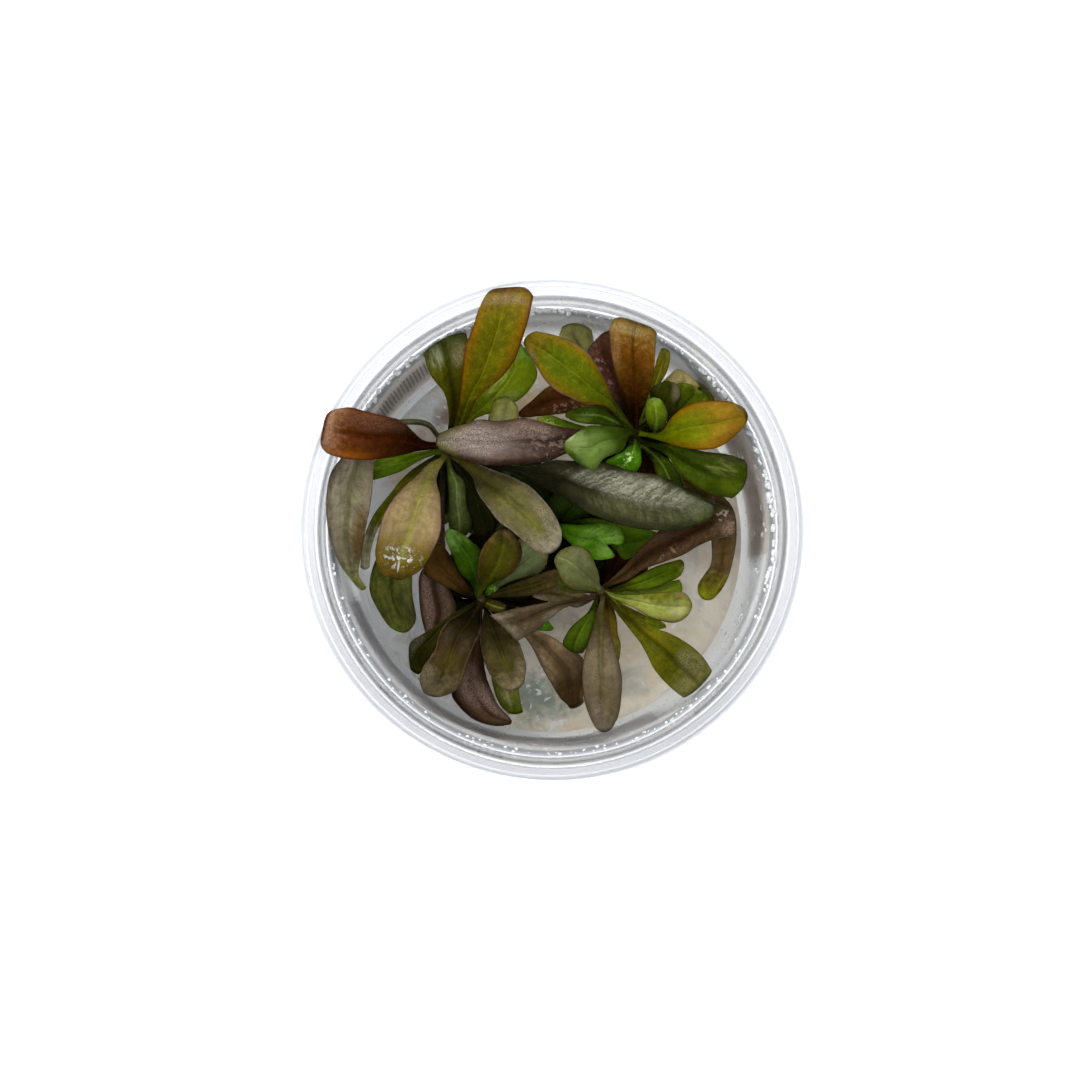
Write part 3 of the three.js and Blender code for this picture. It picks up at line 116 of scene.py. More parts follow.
# Leaves: rosette a is the upper left one, b the upper right, c the lower left and e the lower
# right; the small leaves of the crowns follow. Each edge is read from the base to the tip, left
# and right as seen when looking from the base along the leaf. heights: evenly spaced from base
# to tip. bulge: how far the rounded end reaches past the last pair. square: how blunt that end
# is. cup: how far the edges rise (or droop, below 0). notch: place, width and depth of a dent
# in the end.
OUTLINES = read_outlines("""
leaf_a_top: heights 49 58 65 69 67.2; bulge 2.1; square 5;
 left -19.9 18.9, -18.5 25, -18 30, -17.4 36, -15.9 40, -14.6 44, -13.7 45.7;
 right -18.9 18.5, -16.5 22.6, -15.2 25.6, -13.2 27.6, -10.3 30, -7.6 33.5, -6 37.8, -4.7 42, -3.8 46.4

leaf_a_behind_top: heights 44 50.5 56 58 57; bulge 0.7; cup 0.6;
 left -21 18.6, -20.6 22, -21.5 27, -23.8 30, -25 32.5, -25.4 34.2;
 right -20.2 18.6, -18.3 24, -17.5 30, -16.5 35, -17 38.6

leaf_a_inner: heights 40 46 51 52 50; bulge 0.6;
 left -18.9 18.3, -17 23, -14.5 29, -11.5 33, -8.8 36.4;
 right -18.3 17.7, -15.5 22, -11 23.5, -6.8 25.6, -5 27.2, -3 30.5, -4 34, -6.2 36.8

leaf_a_left: heights 49 58 66 69 67.2; bulge 1.9; square 5;
 left -23.2 15.9, -27 15.4, -29.7 14.7, -33.7 14, -37.3 13.7, -42.3 14.2, -44.6 15;
 right -23.2 17.2, -25.8 17.7, -27.8 19.6, -30 21.6, -33.7 22.6, -37.7 23.6, -40 24.2, -42.9 23.9

leaf_a_centre: heights 46 53 58 59 56.5; bulge 0.6;
 left -18.8 14.4, -14.9 13, -11.6 11.7, -7.6 10.2, -4.3 8.4, -1.7 5.8, 0.3 3.1, 1.8 -0.2, 1.8 -2.5;
 right -19.2 13.5, -15.9 10.4, -14.9 7.4, -12.9 4.5, -10.6 1.5, -8.3 -0.2, -6 -2.1, -3.7 -4.1, -1.4 -5

leaf_a_tan: heights 46 55 59 58 54; bulge 0.6;
 left -21.6 13.2, -22.6 11.4, -23 9.4, -22.3 6.8, -22.1 3.4, -22.1 0, -23 -2.9, -24.5 -5.8, -26.1 -8.1,
 -28.4 -9.5;
 right -22.6 13.9, -24.2 13.2, -27.1 10.4, -29.7 8.1, -32 5.4, -33.7 2.1, -34.5 -1.2, -35.1 -5, -34 -8.5,
 -32.4 -9.3

leaf_a_far_left: heights 45 51 57 61 61.5 61 57 51; bulge 0.6;
 left -22.6 18, -24.8 20.4, -29.9 20.7, -34 18, -35.2 14, -35.5 10, -36 5, -37 0, -37.8 -5, -38.3 -9,
 -36.8 -11.5;
 right -22.8 18.9, -24.8 21.2, -30 21.6, -38 19.5, -42 14, -44 11, -44.8 6, -44.6 1, -43.8 -3, -42 -7,
 -40 -9.5, -38.4 -11.5

leaf_a_edge_on: heights 41 49 52 53 50; bulge 0.5;
 left -23.6 13.2, -27.2 9.7, -31.2 4.8, -34.2 0.7, -35.8 -3.5, -36.2 -7.5;
 right -24.4 14, -28.6 11.2, -32.8 6.3, -35.8 2.2, -37.6 -2.8, -38 -7.5

leaf_a_under_left: heights 42 50 54 53; bulge 1;
 left -24 14.6, -26 13.8, -30 11.5, -35.3 9.8, -38 9.5;
 right -24 15.8, -30 14.8, -35 13.8, -38.5 12

leaf_a_great: heights 43 47 52 55.5 55.5 53.5; bulge 0.8;
 left -18.4 15.5, -12 13.6, -6 12.4, -3.4 12.7, 0 13.7, 4.2 13.6, 10.5 13.2, 14.4 12, 17 11.4, 20.4 10.9,
 23.7 9.7, 26.3 8.4, 28.9 7.1, 31.3 5.4;
 right -18.5 14.7, -12 12.3, -6 10.7, -4.1 9.4, -1.1 7.8, 2.5 6.1, 5.5 4.1, 8.8 2.5, 12.4 1.2, 16.4 0.2,
 20.4 -0.2, 23.7 -0.3, 27 0.3, 29.6 1.2, 31.9 2.5

leaf_a_hanging: heights 36 42 43.5 43 40 37; bulge 0.8;
 left -21.5 13.1, -21.4 10, -21.5 6, -21.4 0, -21 -6, -20.5 -11, -19 -15.5, -20 -18, -22 -19.5, -22.8 -22.5;
 right -22.2 13.3, -22.2 10, -22.3 6, -22.3 0, -24 -5, -26.3 -9, -26.4 -13, -26 -17, -25 -21, -24.3 -24

leaf_a_lowest: heights 34 42 46 43 38 35; bulge 0.4; cup 0.8;
 left -23.2 12.9, -25 6, -27 -2, -27.7 -8, -27.7 -13, -27 -18, -28 -19.8;
 right -23.9 13.4, -27 6, -31 0, -35 -6, -36.2 -12, -34.5 -16, -32 -19.5, -30.4 -20.3

leaf_b_long: heights 51 57 62 63.5 62.5 60; bulge 0.9; cup -0.6;
 left 14.6 18.3, 9 16.8, 2.6 15, -0.7 13.5, -5 13, -9.9 12.7, -13.6 12.7, -15.9 13.4, -20 14.7, -22.1 15.5;
 right 14.6 19.4, 10 19.8, 5 20, 0.6 20.6, -2.7 21.5, -6 22.1, -10.9 21.5, -14.9 21.8, -17.2 21, -20 20.1,
 -22.5 19.1

leaf_b_up_left: heights 50 57 61 62 59.5; bulge 1.8;
 left 14.5 20.6, 13.6 21.4, 12.1 23.3, 10.1 24.6, 6.5 24.9, 3.5 26.1, 0.6 27.6, -1.7 29.9, -3.1 32.2,
 -4.7 34.8;
 right 15.2 21.3, 13.4 23.4, 11.9 25.2, 11.5 26.9, 10.5 29.5, 9.1 32.2, 7.2 35, 4.9 36.8, 0.6 38.6,
 -3.2 39.4

leaf_b_up: heights 51 58 63 65 62; bulge 0.9; square 5;
 left 16.2 21.8, 15.4 24.9, 14.1 27.2, 12.8 30.2, 11.9 33.5, 11.5 36.8, 11.3 39.8, 11.9 41.4;
 right 17.2 21.8, 18.7 25.6, 19.4 27.6, 20.2 31.5, 20.4 35.5, 20.7 38.4

leaf_b_right: heights 51 57 62 63 61; bulge 0.9;
 left 19.4 19.1, 20.2 19, 22 19.6, 23.3 21.9, 25.3 23.8, 28 25.1, 31.9 25.6, 35.5 25.4, 37.9 24.3;
 right 19.4 18.3, 20.3 18, 22.3 17.3, 25.6 16.3, 29.6 15.8, 32.9 16.3, 35.9 18.2, 37.9 20.3

leaf_b_right_lower: heights 48 54 57.5 58 54; bulge 1.3;
 left 18.8 17.3, 21 17.1, 25 16.8, 30 15.5, 34.9 14.9, 37.9 13.9;
 right 18.5 16.5, 20.5 16, 22.7 14.7, 24.7 12, 27.3 9.4, 30.3 7.6, 32.9 6.6, 35 6.3

leaf_b_down: heights 43 48 50 48; bulge 0.5;
 left 18.6 16.3, 22 14.5, 24 13, 25 11.4, 26.3 8.4, 26.5 5;
 right 18 15.9, 19.8 13.5, 20.4 11.4, 21.5 8, 23.5 4.5

leaf_b_rhomb: heights 55 63 66.5 66 63; bulge 0.1; cup -1;
 left 14.9 18.6, 14.6 17.6, 13.8 15.7, 10.1 14, 8.2 11.7, 5.5 12.9, 3.5 14.5, 2.3 16;
 right 14.9 19.7, 13.5 20.2, 10.1 20.6, 7.2 20.6, 4.9 19.3, 2.9 17.7, 2.2 16.9

leaf_b_behind_up: heights 46 52 55 55; bulge 0.4;
 left 18.4 21.5, 19.2 24.5, 19.6 28.1, 21.4 29;
 right 19.1 21, 23.7 22.6, 24.7 24.9, 25.5 26.6, 25.3 28.2, 23.7 29.3

leaf_b_dark_back: heights 43 50 53 53.2; bulge 0.4;
 left 19.3 20.8, 22 24, 24.3 27.5, 25 29, 26.6 29;
 right 19.8 20, 25 21, 29 23.5, 31.3 25.7, 29 27.4

leaf_b_dead: heights 41 48.8 51.7 51.6; bulge 0.3;
 left 18.3 22.2, 20.2 26, 21.7 29.2, 22.7 30.2, 24.6 32;
 right 19 21.8, 25 25, 28 27.5, 29.3 28.5, 27 30.5

leaf_b_by_wall: heights 38 44.6 49.5 50; bulge 0.1;
 left 19.8 20.8, 24 24.5, 27 29.4, 28.2 29.7;
 right 20.3 20.1, 28 21.5, 32.2 25.5, 30.7 28, 29.5 29

leaf_b_slim: heights 45 51 54 56.5; bulge 0.4;
 left 17.2 21.6, 18.4 26, 19.8 30, 20.6 33.5, 21.6 36;
 right 17.8 21.4, 19.4 26, 22.3 30.5, 23.3 33.2, 23.4 35.1

leaf_b_purple: heights 44 51 54.5 54; bulge 0.4;
 left 15 22, 12 26, 9.5 30, 7.4 33.5, 7 35.6, 8.6 37.6;
 right 15.8 22.2, 16 27, 15 32, 13.5 37, 11.5 39.6

leaf_b_pale_back: heights 40 46 50 49; bulge 1;
 left 14 21.8, 8 28, 3.5 34, 1.3 38, 2 40.4;
 right 14.7 22.4, 11 30, 9.3 35, 8.2 37.5, 7.8 39.6

leaf_b_mauve: heights 42 48 51 51.5; bulge 0.6;
 left 14.2 20.9, 9 22.4, 4.9 23.2, 0.6 22.8, -6 22.1;
 right 14 21.6, 8 27, 3 29, -0.8 28.4, -4.1 25.6, -6.4 23.6

leaf_b_drooping: heights 38 43 46.5 47 44 40 37; bulge 0.8;
 left 19 15.5, 24 12.2, 30 9, 34 6.4, 35.6 4.5, 36.3 2.5, 36.5 -1, 36 -5, 35 -9, 33.5 -12, 31.8 -13.8;
 right 18.7 15, 23 10.5, 26.5 6, 29 3, 31 0, 31.5 -3, 31.3 -7, 30 -9, 28.8 -11, 28.8 -12.6

leaf_c_oval: heights 45 51 54 53.5; bulge 0.9;
 left -14.6 -12, -14.8 -8, -14.5 -5.5, -13.5 -3, -11.5 -0.8;
 right -13.8 -12, -11.5 -10.5, -9 -9.5, -7 -7.5, -6 -5, -6.5 -2.5, -8 -0.6

leaf_c_bright: heights 43 47.5 50 49.5; bulge 0.5;
 left -15.4 -12.2, -16.5 -10.2, -18 -9, -20 -5, -21.4 -1;
 right -14.9 -11.8, -13.5 -7, -14.3 -4, -15.5 -2.8, -18 -0.8, -20 0

leaf_c_down_left: heights 46 52 54 51.5; bulge 0.5;
 left -14.4 -16, -14.2 -20, -15.5 -23, -17 -26.5, -17.8 -29.5, -19 -31.8, -21.5 -33;
 right -15.4 -15.6, -17.5 -16.5, -20.5 -18, -22.3 -20.5, -23.5 -24.5, -25.5 -27, -26.3 -30, -25.5 -32.3

leaf_c_down: heights 43 47 49.5 48; bulge 1;
 left -12.7 -16, -11.5 -17.5, -9 -19.3, -7 -21.7, -6 -24, -5.2 -27, -5.5 -30;
 right -13.5 -16.3, -14.3 -21.5, -14 -24.5, -13 -27.5, -11.5 -30, -9.5 -31.8

leaf_c_purple: heights 38 43 45 43.5; bulge 0.4; cup -0.8;
 left -14 -16.4, -13.8 -22, -13.2 -28.5, -12 -32, -10.5 -35, -8.6 -37, -8 -37.8;
 right -14.8 -16.2, -16.2 -22, -18.5 -28, -20 -32.5, -18.5 -35, -16 -37.3, -14 -38.3, -11 -38.8, -9 -38.6

leaf_c_green_low: heights 35 40 42 41; bulge 0.4;
 left -12.6 -16.2, -9 -23, -7 -29, -6.5 -33, -5.8 -36.1;
 right -13.2 -16.4, -12.4 -24, -12 -30, -10.5 -34.5, -9 -36.2

leaf_c_right: heights 43 46.5 49 48.5; bulge 0.4;
 left -12.2 -13, -10 -11.7, -7 -10.4, -3 -9, 0 -8, 2.6 -8;
 right -12.1 -13.6, -8 -13.4, -4 -13, 0 -11.5, 2.6 -10.5

leaf_c_under_left: heights 40 44.5 45.5 43; bulge 0.6;
 left -15.7 -15.2, -20 -19, -24 -25, -25.5 -28, -26.4 -28.7;
 right -16 -14.7, -20 -17, -25.5 -20.6, -28.2 -22.5, -28.3 -26.5

leaf_c_far: heights 39 43 45 44 41.5; bulge 0.3;
 left -12.2 -14.9, -7 -17.2, -3 -20, 0 -21.3, 3 -23.3, 6 -25.5, 6.2 -30, 6 -33.3;
 right -12.4 -15.6, -8 -19, -5 -22, -4 -23.5, -2 -27.5, 0 -31, 1.5 -33.4, 3 -34.8

leaf_e_left: heights 47 50.5 52.5 51; bulge -0.2;
 left 7.8 -13.8, 4 -15, 2 -15.8, 0 -17.3, -3 -20, -4.5 -20.8, -7.2 -22.2;
 right 7.8 -13.2, 3 -14, 0 -14.3, -4 -15, -8 -15.8, -12.5 -17

leaf_e_up_right: heights 43 47 50.5 51.5 50; bulge 0.2;
 left 10.9 -10.5, 14 -7.5, 17 -4, 19.5 -1.5, 21 -0.3, 25 2, 30 4.5, 33.5 5.3, 35.6 4.1, 36.3 1.8;
 right 11.5 -11.1, 15 -10, 18 -8, 22 -6.5, 26 -5, 29 -3.2, 32 -2, 36.2 -1.2

leaf_e_green: heights 41 44.8 45.8 44.8; bulge 0.3;
 left 11.8 -11.8, 15 -10.2, 18.5 -8.2, 22 -6.8, 25.3 -5.9;
 right 11.9 -12.4, 15 -12.2, 19 -12, 23 -10.5, 25.5 -9, 26.1 -7.3

leaf_e_pale: heights 45 49 50.5 49; bulge 0.2; cup 0.8;
 left 11.9 -12.7, 15 -13, 20 -12.6, 25 -12.3, 26.5 -12.8, 27.6 -14.5;
 right 11.8 -13.4, 13 -14.3, 16 -15.5, 19 -17.3, 21 -18, 24 -18.5, 26 -17.8, 27.2 -16.4

leaf_e_oval: heights 50 54.5 56.5 54.5; bulge 0.3; cup -0.5;
 left 8.2 -11.6, 7 -12, 4 -11.8, 2 -10.3, 1 -8, 0.4 -6.3;
 right 9.1 -10.6, 9.1 -9, 8.3 -6.5, 7 -4.3, 5.5 -3.3, 4 -3.2, 2 -4, 1 -5

leaf_e_down: heights 48 54 57.5 56.5 53; bulge 0.8;
 left 10.3 -14.4, 10.2 -16, 11 -19, 12 -22, 13 -25.5, 13.7 -29, 13.6 -33, 13 -37, 11.8 -39.3;
 right 9.4 -14.5, 8.5 -17, 8 -19.5, 7 -22.5, 6 -26, 5.8 -30, 6.3 -34, 7.5 -37.5, 8.5 -39.3

leaf_e_down_left: heights 43 47.5 49 47.5; bulge 0.3;
 left 8.8 -14.6, 8.6 -17, 8 -20, 7 -23, 6 -24.5;
 right 8.2 -14.2, 7 -16.5, 4.5 -18.5, 2.8 -20.5, 2 -22.8, 3.5 -24

leaf_e_behind_down: heights 43.5 48 50 48.5; bulge 0.3;
 left 11.1 -14.1, 12 -15.4, 12.7 -18, 12.9 -20.5, 13.5 -23, 13.2 -25.8;
 right 10.4 -14.6, 9.6 -17, 9.4 -20, 10 -24, 11.5 -26.3

leaf_e_down_right: heights 47 52 55.5 56 53; bulge 0.4;
 left 11.9 -14, 14 -15.9, 17 -17.6, 20 -19.5, 22.5 -20.3, 25 -21.5, 28 -23.5, 30 -25.5, 31.3 -27.5;
 right 11.4 -14.6, 12.7 -16.5, 15 -19.5, 17 -22, 18.5 -24.5, 20 -27.5, 22 -30, 24.5 -32.3, 25.5 -33

leaf_e_behind_right: heights 40 44.5 46 45; bulge 0.3;
 left 12.2 -13.4, 14.5 -15.1, 17 -16.3, 19 -17.3, 21.5 -18.3;
 right 11.9 -13.9, 14 -17, 17 -19, 20 -20, 22.5 -19.5

leaf_e_mauve: heights 41 44 45.5 45; bulge 0.3;
 left 7.9 -13.9, 5 -15.5, 2 -14.8, -2 -14, -4 -13.4;
 right 7.9 -13.4, 4 -11.8, 0 -11, -3 -12

small_rounded: heights 46 53 56.5 55; bulge 1.4;
 left -20.8 16.4, -14 19.5, -12.9 21, -12.7 22.3, -11.6 25.6;
 right -20.6 15.2, -12.5 17.6, -8 19.5, -6.7 21.5, -6.8 24.3

dark_glossy: heights 39 45 46.5 44.5; bulge 0.5;
 left -20.4 15.6, -19.5 11.3, -17.5 9.5, -17 5, -16 0.5, -17.5 -1.8;
 right -21.4 15.4, -20.7 9, -20.6 5, -20.6 1, -20 -1.2

deep_dark: heights 34 39 41 39; bulge 0.6;
 left -20.4 15.4, -14 9, -11.5 4, -11.5 0;
 right -21.2 14.8, -18 8, -17 2, -15 -1.5

small_bright: heights 49 55 57 57; bulge 0.3;
 left 19.8 19.5, 18.7 21.2, 18.3 23.2, 18.6 25.1, 19.3 25.9;
 right 20.8 19.1, 22.3 20.5, 22.9 22.2, 22.6 24, 21.7 25.5, 20.8 26

under_long: heights 42 50 54 55.5; bulge 0.2;
 left 16.4 19, 6 18, 1.5 19, -2 20, -3 21.3;
 right 16.2 19.8, 7 20.4, 1.9 21.9, -0.4 22.7, -2.9 22.3

glossy: heights 45 51.5 55 56.5; bulge 0.2;
 left 16.2 19.2, 11 20.6, 8.5 20.8, 6.8 20.9, 4.2 21.5, 2.6 22.3;
 right 16.6 20.2, 11.5 23, 9.8 24.4, 6.8 24.4, 2.9 23.3

under_great: heights 44 49.5 50 48; bulge 0.3;
 left 17.2 19.2, 17.6 15, 17.6 13, 16.5 11.2, 14 9.5;
 right 16 19.2, 14.6 16, 12.4 14.6, 10.5 13.4, 10.5 11

maroon: heights 36 42 44 42; bulge 0.5;
 left 17.2 19.2, 20.8 15.5, 21.6 12, 20.5 8;
 right 16.3 18.7, 17.5 14, 17 10, 17.5 7

dark_flat: heights 37 43.5 45 45; bulge 0.4;
 left -14.2 -14.4, -22 -10.9, -25.6 -8.5, -24.6 -5;
 right -13.7 -13.6, -17 -10.5, -20 -5.5, -22 -2.7

teal: heights 38 44.5 45.5 45.5; bulge 0.3;
 left -14.3 -13.7, -10.5 -8.4, -8.8 -4.8, -6.8 -2, -3.6 -1.6;
 right -13.8 -14.3, -9 -10.6, -5 -9.4, -1.6 -7.8, -0.7 -4.4

curled: heights 42.5 44.5 46 45.5; bulge 0.3;
 left -14 -13.4, -10.5 -14.3, -9.2 -15;
 right -14 -14.6, -12 -16.3, -9.8 -16.3

under_oval: heights 43 46.5 49.6 50.3; bulge 0.3;
 left 9.6 -12.7, 6 -12.6, 4 -12.7, 2 -12.2;
 right 9.6 -11.6, 5 -10.6, 2.5 -9.6, 1 -9.9

beside_pale: heights 35 40.5 42.5 42; bulge 0.4;
 left 9.8 -11.8, 16 -11.8, 20 -11, 25 -9.9;
 right 9.8 -12.6, 17 -13.6, 22 -13.8, 25.6 -12.5

wavy: heights 40 45 46 45; bulge 2; cup 0.6; square 4; notch 0.12 0.2 3;
 left 1 1.2, 5.5 0.9, 9.5 1.3, 12.2 1.1, 13.4 0.2;
 right 1.2 -0.6, 5 -3.9, 7 -4.3, 8.2 -6, 9.9 -5.9

darker: heights 34 40 42 41; bulge 0.4;
 left 1.4 1, 8 2.2, 13 1, 18 0.3, 20.5 -0.5;
 right 1.8 0, 8 -1, 12.5 -4, 14 -6, 16.5 -5, 19 -3

back: heights 28 36 38 37; bulge 0.6;
 left 1 0.8, -1 4, 0 7, 3 9.5;
 right 1.8 0.6, 7 2.5, 10.5 5, 9 8.5

side: heights 30 37 39 37; bulge 0.6;
 left 0.9 0.2, -3 -3, -8 -3.5, -11 -1.5;
 right 1 0.8, -3 2.5, -8 3, -10.5 1.5
""")

# The youngest leaves, joined to their stem
HEARTS = {
    "stem_a": ["small_rounded", "dark_glossy", "deep_dark"],
    "stem_b": ["small_bright", "under_long", "glossy", "under_great", "maroon"],
    "stem_c": ["dark_flat", "teal", "curled"],
    "stem_e": ["under_oval", "beside_pale"],
    "stem_f": ["wavy", "darker", "back", "side"],
}

# How leaves are coloured, as red, green and blue out of 255: the middle and the margins of the
# blade, its base (up to the share base_to), its tip (from the share tip_from), on many a pale
# painted sheen where the end turns over, and its midrib
STYLES = {
    "olive": {
        "centre": (98, 98, 14), "margin": (126, 86, 16), "base": (60, 66, 12),
        "tip": (112, 98, 66), "rib": (136, 144, 48),
    },
    "green": {
        "centre": (78, 122, 22), "margin": (70, 112, 18), "base": (58, 88, 14),
        "tip": (110, 146, 56), "rib": (132, 160, 56),
    },
    "dark": {
        "centre": (52, 74, 14), "margin": (46, 64, 14), "base": (28, 38, 8),
        "tip": (86, 96, 56), "rib": (34, 46, 8),
    },
    "red": {
        "centre": (126, 70, 12), "margin": (132, 74, 16), "base": (42, 14, 10),
        "tip": (114, 84, 68), "rib": (84, 36, 10),
    },
    "brown": {
        "centre": (86, 62, 44), "margin": (96, 68, 50), "base": (56, 38, 14),
        "tip": (108, 86, 72), "rib": (62, 44, 22),
    },
    "taupe": {
        "centre": (112, 100, 72), "margin": (126, 106, 84), "base": (72, 66, 28),
        "tip": (122, 108, 86), "rib": (120, 120, 56),
    },
}
PLAIN = {
    "base_to": 0.22, "tip_from": 0.9, "rib_width": 0.35, "rib_share": 0.6, "veins": 0.5,
    "mottle": 0.5, "pits": 0.15, "rough": 0.33, "rumple": 1.0, "fold": 0.0,
    "streaks": 0.5, "gloss": 0.02, "lift": 1.0, "tip_soft": 0.12, "vein_gap": 2.3,
}

# Low, shaded leaves round each crown, whose dark skins are partly painted shade and fill the
# gaps between the leaves above: direction in degrees, length, width, height of the base and of
# the tip, and skin
UNDERSTORY = {
    "stem_a": [
        (290, 17, 7, 28, 33, "side"), (312, 15, 7, 24, 30, "deep_dark"), (268, 14, 6, 26, 30, "back"),
        (335, 13, 7, 30, 36, "dark_leaf"), (20, 9, 6, 28, 34, "dark_leaf"),
    ],
    "stem_b": [
        (200, 12, 7, 30, 36, "dark_leaf"), (230, 12, 8, 26, 32, "deep_dark"), (262, 12, 7, 28, 34, "maroon"),
        (300, 11, 6, 26, 32, "deep_dark"), (60, 8, 5, 30, 36, "dark_leaf"), (105, 9, 6, 26, 32, "maroon"),
        (145, 11, 6, 28, 34, "deep_dark"), (340, 9, 5, 28, 33, "dark_leaf"),
        (82, 11, 8, 27, 33, "maroon"), (40, 10, 7, 26, 32, "deep_dark"), (10, 10, 7, 25, 31, "maroon"),
    ],
    "stem_c": [
        (70, 11, 7, 26, 31, "deep_dark"), (110, 12, 7, 24, 30, "back"), (150, 12, 7, 28, 33, "maroon"),
        (25, 12, 7, 26, 31, "dark_leaf"), (200, 10, 6, 26, 30, "dark_leaf"), (245, 9, 5, 26, 30, "maroon"),
        (330, 9, 5, 26, 31, "brown_leaf"), (88, 14, 8, 22, 28, "deep_dark"), (5, 13, 8, 22, 28, "maroon"),
        (338, 14.5, 3.5, 27, 32, "under_great"), (103, 6, 2.2, 36, 42, "under_great"),
        (45, 4.5, 2, 38, 43, "under_great"),
    ],
    "stem_e": [
        (60, 11, 6, 28, 33, "maroon"), (95, 11, 7, 24, 30, "deep_dark"), (130, 10, 6, 28, 33, "dark_leaf"),
        (30, 10, 5, 30, 34, "brown_leaf"), (165, 9, 5, 28, 32, "maroon"), (265, 8, 4, 28, 32, "brown_leaf"),
        (78, 13, 8, 24, 30, "maroon"), (45, 12, 7, 24, 30, "deep_dark"), (112, 11, 7, 24, 29, "back"),
    ],
    "stem_f": [
        (100, 10, 8, 20, 27, "back"), (150, 12, 8, 20, 26, "side"), (215, 12, 8, 20, 26, "deep_dark"),
        (270, 9, 7, 20, 26, "side"), (330, 12, 8, 22, 28, "dark_leaf"), (20, 13, 8, 20, 27, "deep_dark"),
        (124, 16, 9, 22, 31, "back"), (170, 18, 9, 20, 29, "deep_dark"), (192, 16, 9, 20, 27, "side"),
        (60, 13, 9, 21, 28, "deep_dark"), (240, 13, 8, 20, 27, "dark_leaf"), (300, 11, 8, 20, 26, "back"),
    ],
}


def read_looks(text):
    looks = {}
    for name, ((style, _), *fields) in read_table(text).items():
        looks[name] = {**PLAIN, **STYLES[style], "patches": []}
        for word, numbers in fields:
            if word in PATCH_KINDS:
                looks[name]["patches"].append((word, numbers))
            else:
                looks[name][word] = single(numbers)
    return looks
